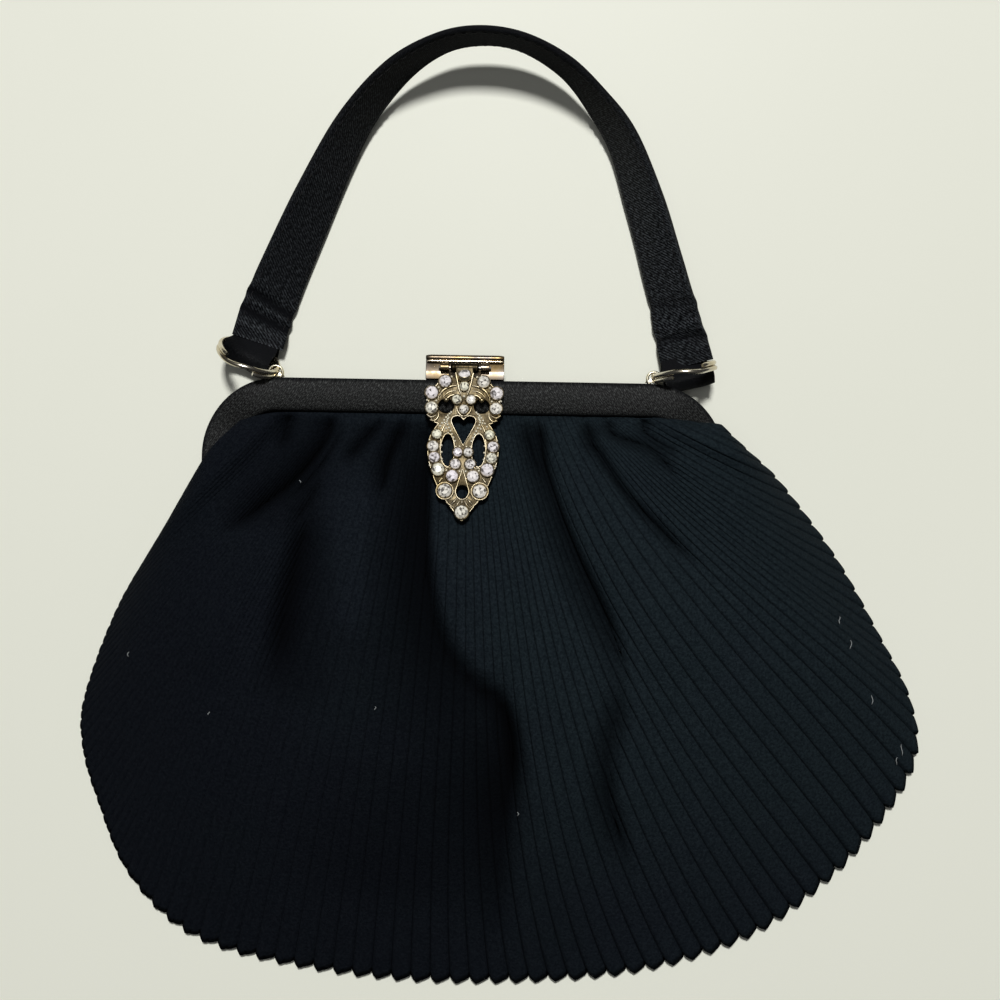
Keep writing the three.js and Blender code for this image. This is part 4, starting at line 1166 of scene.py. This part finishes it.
# %% Strap loops
LOOP_HALF, LOOP_THICK, LOOP_TAPER, CUP_MOST = 7.1, 0.42, 0.92, 0.93
LOOP_INSIDE = ((-4.2, 5.5), (-1.7, 5.9), (0.3, 6.7))
LOOP_OUT = ((0.4, 7.6), (0.72, 7.0), (0.95, 5.4), (1.0, 3.6), (0.8, 1.8), (0.45, 1.1))
LOOP_BACK = ((0.0, 1.0), (-1.9, 1.7), (-3.0, 3.2), (-4.2, 4.6))
tabs, tab_threads = [], []
for ring in RINGS:
    centre, along_ring, up, _ = ring_axes(ring)
    lowest = centre - up * RING_R + along_ring * ring["slide"]
    heading = math.radians(ring["tab"])
    away = np.array([math.sin(heading), -math.cos(heading), 0.0]) * ring["side"]
    sideways = np.cross(away, UP)
    reach = [(share * ring["reach"], z) for share, z in LOOP_OUT]
    line = smooth_line((*LOOP_INSIDE, *reach, *LOOP_BACK), 8)
    middle = np.array([lowest[0], lowest[1], 0.0]) + line[:, :1] * away + line[:, 1:] * UP
    forward = unit(np.gradient(middle, axis=0))
    outer = unit(np.cross(forward, sideways))
    steps = np.linspace(-1, 1, 13)
    ripple = 0.10 * np.sin(np.arange(len(line))[:, None] * 0.42 + steps * 1.3)
    half = LOOP_HALF * np.interp(line[:, :1], (-4.2, 0.0), (LOOP_TAPER, 1.0))
    thick = LOOP_THICK * (1 - 0.5 * steps**8)
    top = np.stack([half * steps, thick + ripple], -1)
    under = np.stack([half * steps[::-1], ripple[:, ::-1] - thick], -1)
    section = np.concatenate([top, under], 1)
    squeeze = (ring["slide"] + section[..., 0] * (sideways @ along_ring)) / RING_R
    squeeze = np.clip(squeeze, -CUP_MOST, CUP_MOST)
    cup = RING_R * (1 - np.sqrt(1 - squeeze**2)) * smooth_step(-1.0, 1.4, line[:, :1])
    sections = middle[:, None] + section[..., :1] * sideways + section[..., 1:] * outer[:, None]
    tabs.append(loft(sections + cup[..., None] * UP))
    lengthwise = np.broadcast_to(np.arange(len(line))[:, None, None] * 0.9, (*section.shape[:2], 1))
    tab_threads.append(np.concatenate([lengthwise, section], -1).reshape(-1, 3))
points, faces = joined(tabs)
strap_loops = make_piece("strap_loops", points, faces, [strap_satin], sharp_deg=60)
note(strap_loops, "thread", np.concatenate(tab_threads))
row = np.arange(len(line))
# Painted light: the tabs are mixed to plain dark satin, and two stripes across each are left lighter as
# painted highlights.
folds = np.exp(-(((row - 27) / 3.5) ** 2)) + 0.6 * np.exp(-(((row - 39) / 3.0) ** 2))
note(strap_loops, "edge", np.tile(np.repeat(0.98 - 0.8 * folds, 2 * len(steps)), len(RINGS)))

# %% [markdown]
# ## Eyelets
# A cast eyelet on the frame's top edge holds each ring. It is a rounded ring on a short foot; a circle of
# rounded sections makes the ring, and a small loft makes the foot that runs into the satin.

# %% Eyelets
EYE_OUTER, EYE_HOLE, EYE_HALF, FOOT_SIDES = 2.5, 1.6, 0.9, 20
FOOT_ROWS = ((0.3, 2.6, 0.86), (0.5, 2.65, 0.9), (1.0, 2.4, 0.86), (1.6, 1.9, 0.7))
turn = np.linspace(0, 2 * math.pi, 41)[:-1]
circle = 0.5 * (EYE_OUTER + EYE_HOLE) * np.stack([np.cos(turn), np.sin(turn), 0 * turn], -1)
half = (EYE_OUTER - EYE_HOLE) / 2
turn = np.arange(FOOT_SIDES) * 2 * math.pi / FOOT_SIDES
foot_x, foot_z = (np.sign(wave) * np.abs(wave) ** 0.6 for wave in (np.cos(turn), np.sin(turn)))
for side, word in ((-1, "left"), (1, "right")):
    middle = EYELET * (side, 1, 1)
    eye = tube(middle + circle, half, sides=14, closed=True, squeeze=EYE_HALF / half)
    foot = loft(np.stack([
        np.stack([middle[0] + wide * foot_x, 0 * turn + FRAME_TOP + y, middle[2] + tall * foot_z], -1)
        for y, wide, tall in FOOT_ROWS
    ]))
    points, faces = joined([eye, foot])
    make_piece(
        f"strap_eyelet_{word}", points, faces, [eyelet_gold],
        replaces=[f"strap_lug_{word}"], sharp_deg=60,
    )

# %% [markdown]
# ## The catch
# The catch is bent sheet: a face that lies over the frame's top edge, a wall against that edge, two cheeks
# and a rolled lip. In the middle a notch leaves room for the lever's barrel. Straight bars of one profile
# are joined for it, and a Bevel modifier rounds every edge, as tumbling does to real sheet parts.

# %% Catch
def bar_along_x(outline, x0, x1):
    outline = np.asarray(outline, float)
    return loft(np.stack([np.column_stack([np.full(len(outline), x), outline]) for x in (x0, x1)]))


CATCH_HALF, NOTCH_HALF, FOOT, CHEEK_WIDE = 11.7, 4.7, FRAME_TOP + 0.3, 1.2
WALL_AND_FACE = (
    (FOOT, 4.6), (FOOT + 1.2, 4.6), (FOOT + 1.2, 10.4), (42.0, 10.4), (42.0, 11.0), (40.2, 11.70),
    (38.3, 12.38), (37.6, 12.54), (FOOT, 12.54),
)
WALL_ONLY = ((FOOT, 4.6), (FOOT + 1.4, 4.6), (FOOT + 1.4, 12.3), (FOOT, 12.1))
CHEEK = ((FOOT, 6.6), (FOOT + 3.4, 6.6), (FOOT + 4.4, 7.6), (FOOT + 4.5, 11.3), (FOOT, 11.3))
FLOOR = ((FOOT + 0.6, 9.4), (41.6, 9.4), (41.6, 10.3), (FOOT + 0.6, 10.3))
BACK_STRIP = ((41.1, 11.2), (42.0, 11.2), (42.0, 12.1), (41.1, 12.25))
CATCH_BARS = (
    (WALL_AND_FACE, -CATCH_HALF, -NOTCH_HALF), (WALL_AND_FACE, NOTCH_HALF, CATCH_HALF),
    (WALL_ONLY, -NOTCH_HALF, NOTCH_HALF), (BACK_STRIP, -NOTCH_HALF, NOTCH_HALF),
    (FLOOR, -NOTCH_HALF - 0.4, NOTCH_HALF + 0.4),
    (CHEEK, -CATCH_HALF, CHEEK_WIDE - CATCH_HALF), (CHEEK, CATCH_HALF - CHEEK_WIDE, CATCH_HALF),
)
catch_bars = [bar_along_x(*row) for row in CATCH_BARS]
catch_bars += [turned_pin((side * 6.0, HINGE[1], HINGE[2]), 1.3, 1.45) for side in (-1, 1)]
catch_bars.append(turned_pin((0.0, 42.2, 12.2), CATCH_HALF, 0.9))
lip = turned_pin((0.0, 41.2, 12.55), CATCH_HALF - 0.3, 0.35, sides=12)
catch_bars.append(lip)
points, faces = joined(catch_bars)
clasp_catch = make_piece(
    "clasp_catch", points, faces, [polished_plating, ring_wire],
    replaces=["clasp_plate"], sharp_deg=35,
)
# Painted highlight: the rolled lip takes the brighter ring metal, against the darker catch.
for polygon in clasp_catch.data.polygons[-len(lip[1]):]:
    polygon.material_index = 1
rounding = clasp_catch.modifiers.new("tumbled_edges", "BEVEL")
rounding.width, rounding.segments, rounding.limit_method = 0.00014, 2, "ANGLE"
rounding.angle_limit = math.radians(50)
points, faces = turned_pin(HINGE, 7.8, 0.6)
make_piece("clasp_rod", points, faces, [pin_steel], replaces=["clasp_pin"], sharp_deg=50)

# %% [markdown]
# ## The lever: its pierced plate
# The lever is a pierced casting, alike on both sides, so its right half is drawn: the edge, two kinds of
# oval openings, a keyhole and a heart. Places on the lever are measured from its hinge, and one function
# tilts them onto the bag.

# %% Lever outlines
LEVER_HALF = (
    (2.6, -0.4), (2.9, -3.0), (4.2, -3.6), (6.6, -4.2), (8.6, -6.0), (10.2, -8.6), (10.9, -11.6),
    (10.6, -14.6), (9.6, -16.6), (8.4, -17.3), (7.7, -17.6), (9.0, -19.4), (10.2, -22.0),
    (10.7, -26.0), (10.3, -29.0), (9.5, -31.6), (8.5, -34.2), (7.5, -36.4), (6.4, -38.4),
    (5.1, -40.3), (2.4, -43.8),
)
LEVER_TIP = -46.6
EYES, SLITS, KEYHOLE = (5.25, -12.1, 2.2, 2.05), (4.55, -25.3, 1.95, 4.85), (0.0, -37.7, 1.75, 1.85)
HEART = (
    (0, -16.2), (0.8, -15.3), (1.9, -15.0), (3.0, -15.3), (3.65, -16.3), (3.4, -17.5), (2.4, -19.5),
    (0, -24.0),
)


def tipped(points, angle):
    """Points turned about the X axis."""
    x, y, z = np.asarray(points, float).reshape(-1, 3).T
    cos, sin = math.cos(angle), math.sin(angle)
    return np.stack([x, y * cos - z * sin, y * sin + z * cos], -1)


def on_lever(points):
    """From the lever's own millimetres to the drawing's."""
    return tipped(points, LEVER_TILT) + HINGE


def oval(x, y, rx, ry, steps=36):
    turn = np.arange(steps) * 2 * math.pi / steps
    return np.stack([x + rx * np.cos(turn), y + ry * np.sin(turn)], -1)


right_edge = smooth_line(LEVER_HALF, 5)
lever_outline = np.vstack([right_edge, [(0.0, LEVER_TIP)], right_edge[::-1] * (-1, 1)])
heart_half = np.vstack([smooth_line(HEART[:-1], 4), HEART[-1:]])
heart_outline = np.vstack([heart_half, heart_half[-2:0:-1] * (-1, 1)])
openings = [oval(*KEYHOLE), heart_outline]
for x, y, rx, ry in (EYES, SLITS):
    openings += [oval(x, y, rx, ry), oval(-x, y, rx, ry)]

print(len(openings), "openings in the lever")

# %% [markdown]
# Blender fills a flat curve that has others inside it as a plate with holes, rounds its edges and gives it
# thickness. The curve is turned into a mesh at once, its seams are welded, and the hinge's barrel and a
# neck to it are joined on.

# %% Lever plate
PLATE_LOW, PLATE_HIGH, PLATE_ROUND, WELD = 0.6, 2.2, 0.28, 0.002
drawing = bpy.data.curves.new("lever_drawing", "CURVE")
drawing.dimensions, drawing.fill_mode = "2D", "BOTH"
for outline in (lever_outline, *openings):
    spline = drawing.splines.new("POLY")
    spline.points.add(len(outline) - 1)
    level = 0 * outline[:, 0]
    spline.points.foreach_set("co", np.column_stack([outline, level, level + 1]).ravel())
    spline.use_cyclic_u = True
drawing.bevel_depth, drawing.bevel_resolution = PLATE_ROUND, 3
drawing.offset = -PLATE_ROUND
drawing.extrude = (PLATE_HIGH - PLATE_LOW) / 2 - PLATE_ROUND
drawn = bpy.data.objects.new("lever_drawing", drawing)
scene.collection.objects.link(drawn)
cast = bpy.data.meshes.new_from_object(drawn.evaluated_get(bpy.context.evaluated_depsgraph_get()))
bpy.data.objects.remove(drawn)
welded = bmesh.new()
welded.from_mesh(cast)
bmesh.ops.remove_doubles(welded, verts=welded.verts, dist=WELD)
cast_points = np.array([v.co for v in welded.verts]) + (0, 0, (PLATE_LOW + PLATE_HIGH) / 2)
cast_faces = [[v.index for v in f.verts] for f in welded.faces]
welded.free()
barrel = turned_pin((0, 0, 0), 4.2, 1.45)
neck = bar_along_x(((-3.6, 0.5), (-3.6, 1.9), (-1.2, 1.5), (0.0, 1.3), (0.0, 0.3)), -2.6, 2.6)
points, faces = joined([(cast_points, cast_faces), barrel, neck])
make_piece(
    "lever_casting", on_lever(points), faces, [cast_ground], body="lever",
    replaces=["clasp_ornament"], sharp_deg=40,
)

# %% [markdown]
# ## The lever: settings
# Every stone sits in a collet: a cup with a rolled rim. A cup is a turned shape, so its profile is written
# as distances from the middle and heights, for the stone's radius. The table has the place and radius of
# each stone on the right half.

# %% Collets
STONES = (
    (0.0, -2.4, 1.75), (0.0, -6.2, 1.35), (5.67, -4.8, 1.75), (9.6, -8.25, 1.85),
    (9.5, -12.8, 1.75), (2.07, -10.2, 1.35), (0.0, -13.1, 1.35), (7.75, -20.7, 1.4),
    (8.85, -24.3, 1.6), (8.4, -27.6, 1.55), (7.2, -31.2, 1.85), (1.55, -26.0, 1.3),
    (2.2, -29.5, 1.45), (3.05, -33.1, 1.7), (5.13, -37.5, 2.0), (0.0, -43.8, 1.95),
)
TOP_TILT, SEAT_TOP = math.radians(-40.0), 3.1
spots = [(side * x, y, r) for x, y, r in STONES for side in ((-1, 1) if x else (1,))]


def seat(points, spot):
    """A shape drawn about a collet's top, on the lever. The first stone leans back to the hinge."""
    x, y, _ = spot
    if spot == spots[0]:
        points = tipped(points, TOP_TILT)
    return on_lever(points + (x, y, SEAT_TOP))


def turned(rows, sides):
    """Solid of revolution from rows of radius and height, whose first and last lie on its axis."""
    turn = np.arange(sides) * 2 * math.pi / sides
    rings = [np.stack([r * np.cos(turn), r * np.sin(turn), np.full(sides, z)], -1) for r, z in rows[1:-1]]
    points = np.vstack([[(0, 0, rows[0][1])], *rings, [(0, 0, rows[-1][1])]])
    count = len(rings)
    faces = [[0, 1 + k, 1 + (k + 1) % sides] for k in range(sides)]
    faces += [[corner + 1 for corner in face] for face in grid_faces(count, sides)]
    low = 1 + (count - 1) * sides
    faces += [[low + (k + 1) % sides, low + k, len(points) - 1] for k in range(sides)]
    return points, faces


collets = []
for spot in spots:
    r = spot[2]
    rows = (
        (0, -1.05), (r * 0.5, -0.72), (r * 0.98, -0.30), (r + 0.03, -0.10), (r + 0.07, 0.02),
        (r + 0.14, 0.07), (r + 0.22, 0.04), (r + 0.29, -0.08), (r + 0.34, -0.30), (r + 0.44, -0.95),
        (r + 0.42, -1.5), (0, -1.5),
    )
    points, faces = turned(rows, 32)
    collets.append((seat(points, spot), faces))
points, faces = joined(collets)
make_piece("lever_settings", points, faces, [cast_plating], body="lever", sharp_deg=50)

# %% [markdown]
# ## The lever: scrolls and rims
# Raised wires outline the plate, the heart, the slits and two stones, scrolls fill the ground between them,
# and a small ball stands over each eye. The wires are tubes whose thickness changes along them. Each row of
# the table is a wire of the right half: its height, its places and its radius at them. One wire lies on the
# middle line.

# %% Scrolls and rims
def wire(points, radius, height, steps=8, closed=False):
    flat = smooth_loop(points, steps) if closed else smooth_line(points, steps)
    path = np.column_stack([flat, np.full(len(flat), height)])
    if np.ndim(radius):
        radius = np.interp(np.linspace(0, 1, len(path)), np.linspace(0, 1, len(radius)), radius)
    return tube(path, radius, sides=8, closed=closed)


def ball(x, y, radius, height):
    rows = [(radius * math.sin(a), radius * math.cos(a)) for a in np.linspace(0, math.pi, 8)]
    points, faces = turned(rows, 10)
    return points + (x, y, height), faces


WIRES = (
    (2.45, ((2.3, -6.0), (3.8, -6.2), (5.4, -6.9), (6.6, -7.9), (7.3, -9.2)), (0.2, 0.36, 0.4, 0.36, 0.2)),
    (2.35, ((2.4, -7.6), (3.8, -7.7), (5.2, -8.4), (6.2, -9.5)), (0.15, 0.26, 0.26, 0.15)),
    (2.5, ((1.9, -9.0), (2.9, -8.8), (4.0, -9.1), (4.9, -9.8)), (0.25, 0.34, 0.4, 0.5)),
    (2.6, ((2.6, -2.2), (2.1, -4.6), (1.5, -7.2), (0.9, -8.7)), (0.42, 0.34, 0.3, 0.2)),
    (2.7, ((0.15, -15.2), (0.9, -14.9), (1.8, -13.8), (2.2, -12.6)), (0.2, 0.26, 0.24, 0.15)),
    (2.3, ((8.2, -15.0), (9.6, -15.6), (10.9, -14.8)), (0.25, 0.55, 0.3)),
    (2.3, ((7.4, -14.2), (7.6, -15.6), (8.6, -16.6), (9.9, -16.4)), (0.2, 0.34, 0.36, 0.2)),
    (2.35, ((0.1, -31.0), (0.8, -33.4), (1.5, -35.8), (2.0, -37.8), (1.2, -39.5), (0.1, -40.0)),
     (0.18, 0.24, 0.26, 0.28, 0.26, 0.2)),
    (2.3, ((2.3, -42.4), (3.6, -41.6), (4.6, -40.8)), (0.15, 0.3, 0.15)),
    (2.3, ((0.15, -46.2), (1.2, -45.2), (2.1, -43.8)), (0.3, 0.28, 0.2)),
    (2.3, ((5.9, -33.6), (6.7, -34.7), (7.3, -35.4)), (0.2, 0.42, 0.15)),
    (2.25, ((1.5, -39.6), (2.3, -40.6), (3.3, -41.6)), (0.2, 0.5, 0.2)),
    (2.25, ((0.8, -40.4), (1.3, -41.4), (2.2, -42.4)), (0.2, 0.45, 0.2)),
    (2.25, ((0.0, -39.9), (0.0, -40.8), (0.0, -41.7)), (0.2, 0.45, 0.2)),
    (2.2, ((2.9, -31.0), (4.6, -30.6), (5.6, -31.8)), (0.15, 0.4, 0.15)),
    (2.3, ((4.7, -34.8), (3.4, -36.0), (2.7, -38.0), (3.2, -39.8)), (0.15, 0.3, 0.34, 0.15)),
    (2.25, ((5.2, -17.4), (6.2, -19.4), (6.6, -22.0), (6.7, -25.4), (6.2, -29.2)),
     (0.15, 0.34, 0.3, 0.3, 0.15)),
    (2.3, ((3.6, -4.4), (4.0, -5.2), (3.3, -5.6)), (0.2, 0.4, 0.2)),
    (2.3, ((7.0, -7.0), (7.6, -8.4), (7.5, -10.4)), (0.15, 0.4, 0.2)),
)
relief = []
for height, places, radius in WIRES:
    for side in (-1, 1) if places[0][0] else (1,):
        relief.append(wire(np.array(places) * (side, 1), radius, height=height))
rim = np.vstack([right_edge[8:], [(0.0, LEVER_TIP)], right_edge[:7:-1] * (-1, 1)]) * (0.965, 0.993)
relief.append(wire(rim, 0.24, steps=1, height=2.1))
relief.append(wire(heart_outline, 0.22, steps=1, height=2.25, closed=True))
for side in (-1, 1):
    slit = oval(side * SLITS[0], SLITS[1], SLITS[2] + 0.12, SLITS[3] + 0.14, 18)
    relief.append(wire(slit, 0.24, steps=4, height=2.22, closed=True))
    relief.append(wire(oval(side * 5.13, -37.5, 2.5, 2.5, 18), 0.2, steps=4, height=2.6, closed=True))
    relief.append(ball(side * 5.25, -10.3, 0.82, 2.45))
points, faces = joined(relief)
make_piece(
    "lever_scrolls", on_lever(points), faces, [cast_plating], body="lever", sharp_deg=60
)
print(len(relief), "wires and balls")

# %% [markdown]
# ## The lever: beads
# Rows of fine beads, called milgrain, run beside the heart, and single ones stand between the settings.
# They are small balls sunk halfway into the plate, a little brighter than the scrolls.

# %% Milgrain
BEAD = 0.36
BEAD_ROWS = (
    ((3.7, -14.0), (5.2, -15.6), (6.9, -18.2)), ((4.4, -15.6), (4.9, -17.0), (3.8, -19.6), (2.4, -22.6)),
)
BEADS_APART = (
    (5.6, -17.2), (5.1, -18.9), (4.5, -20.3), (2.2, -24.3), (1.0, -24.3), (3.8, -3.3), (8.2, -10.6),
    (10.9, -10.5), (1.1, -7.9), (7.6, -6.6), (6.4, -24.0), (6.3, -26.0), (6.2, -28.0), (9.9, -22.4),
    (9.6, -30.0), (4.8, -31.4), (5.6, -35.4), (0.9, -31.6),
)
bead_places = np.vstack([*(smooth_line(row, 3) for row in BEAD_ROWS), BEADS_APART])
beads = [ball(side * x, y, BEAD, PLATE_HIGH + 0.12) for x, y in bead_places for side in (-1, 1)]
beads.append(ball(0.0, -9.2, BEAD * 1.2, PLATE_HIGH + 0.2))
points, faces = joined(beads)
make_piece("lever_beads", on_lever(points), faces, [bead_gold], body="lever")
print(len(beads), "beads")

# %% [markdown]
# ## The stones
# Each stone is a round brilliant: a flat table through which eight facets of its back are seen, around it
# eight stars, eight kites and sixteen small facets down to the girdle, and a pointed pavilion below that.
# Flat shading keeps every facet a separate mirror. Random numbers from a fixed seed give each stone its
# turn, a small lean and a tint between clear and the yellow of old foil, and each facet its brightness.

# %% Stones
STONE_SINK, STONE_LEAN = 0.12, 0.16
FLASHES = (0.1, 0.4, 0.75, 1.0, 1.0, 1.0)


def brilliant(r):
    def ring(angles, radius, z):
        return np.stack([radius * np.cos(angles), radius * np.sin(angles), np.full(len(angles), z)], -1)

    eighths = np.arange(8) * math.pi / 4
    sixteenths = np.arange(16) * math.pi / 8
    points = np.vstack([
        ring(eighths, 0.56 * r, 0.40 * r), ring(eighths + math.pi / 8, 0.80 * r, 0.24 * r),
        ring(sixteenths, r, 0.0), ring(sixteenths, r, -0.06 * r), [(0, 0, -0.55 * r), (0, 0, 0.40 * r)],
    ])
    faces = []
    for k in range(8):
        after = (k + 1) % 8
        faces.append([k, after, 49])
        rim = [16 + (2 * k + j) % 16 for j in range(-1, 4)]
        faces.append([k, 8 + k, after])
        faces.append([k, 8 + (k - 1) % 8, rim[1], 8 + k])
        faces += [[8 + k, rim[1], rim[2]], [8 + k, rim[2], rim[3]]]
    faces += [[16 + j, 32 + j, 32 + (j + 1) % 16, 16 + (j + 1) % 16] for j in range(16)]
    faces += [[32 + j, 48, 32 + (j + 1) % 16] for j in range(16)]
    return points, faces


draw = np.random.default_rng(7)
stones, tints, flashes = [], [], []
for spot in spots:
    points, faces = brilliant(spot[2])
    x, y, z = points.T
    turn = draw.uniform(0, math.pi / 4)
    cos, sin = math.cos(turn), math.sin(turn)
    points = np.stack([x * cos - y * sin, x * sin + y * cos, z - STONE_SINK], -1)
    points[:, 2] += points[:, :2] @ draw.uniform(-STONE_LEAN, STONE_LEAN, 2)
    stones.append((seat(points, spot), faces))
    tints += [draw.uniform(0, 1)] * len(points)
    flashes += list(draw.choice(FLASHES, len(faces)))
points, faces = joined(stones)
stone_nodes = [f"stone_{k:02d}" for k in range(1, len(spots) + 1)]
lever_stones = make_piece(
    "lever_stones", points, faces, [stone_glass], body="lever", replaces=stone_nodes
)
lever_stones.data.shade_flat()
note(lever_stones, "tint", tints)
facet_flash = lever_stones.data.attributes.new("flash", "FLOAT", "FACE")
facet_flash.data.foreach_set("value", np.array(flashes, np.float32))
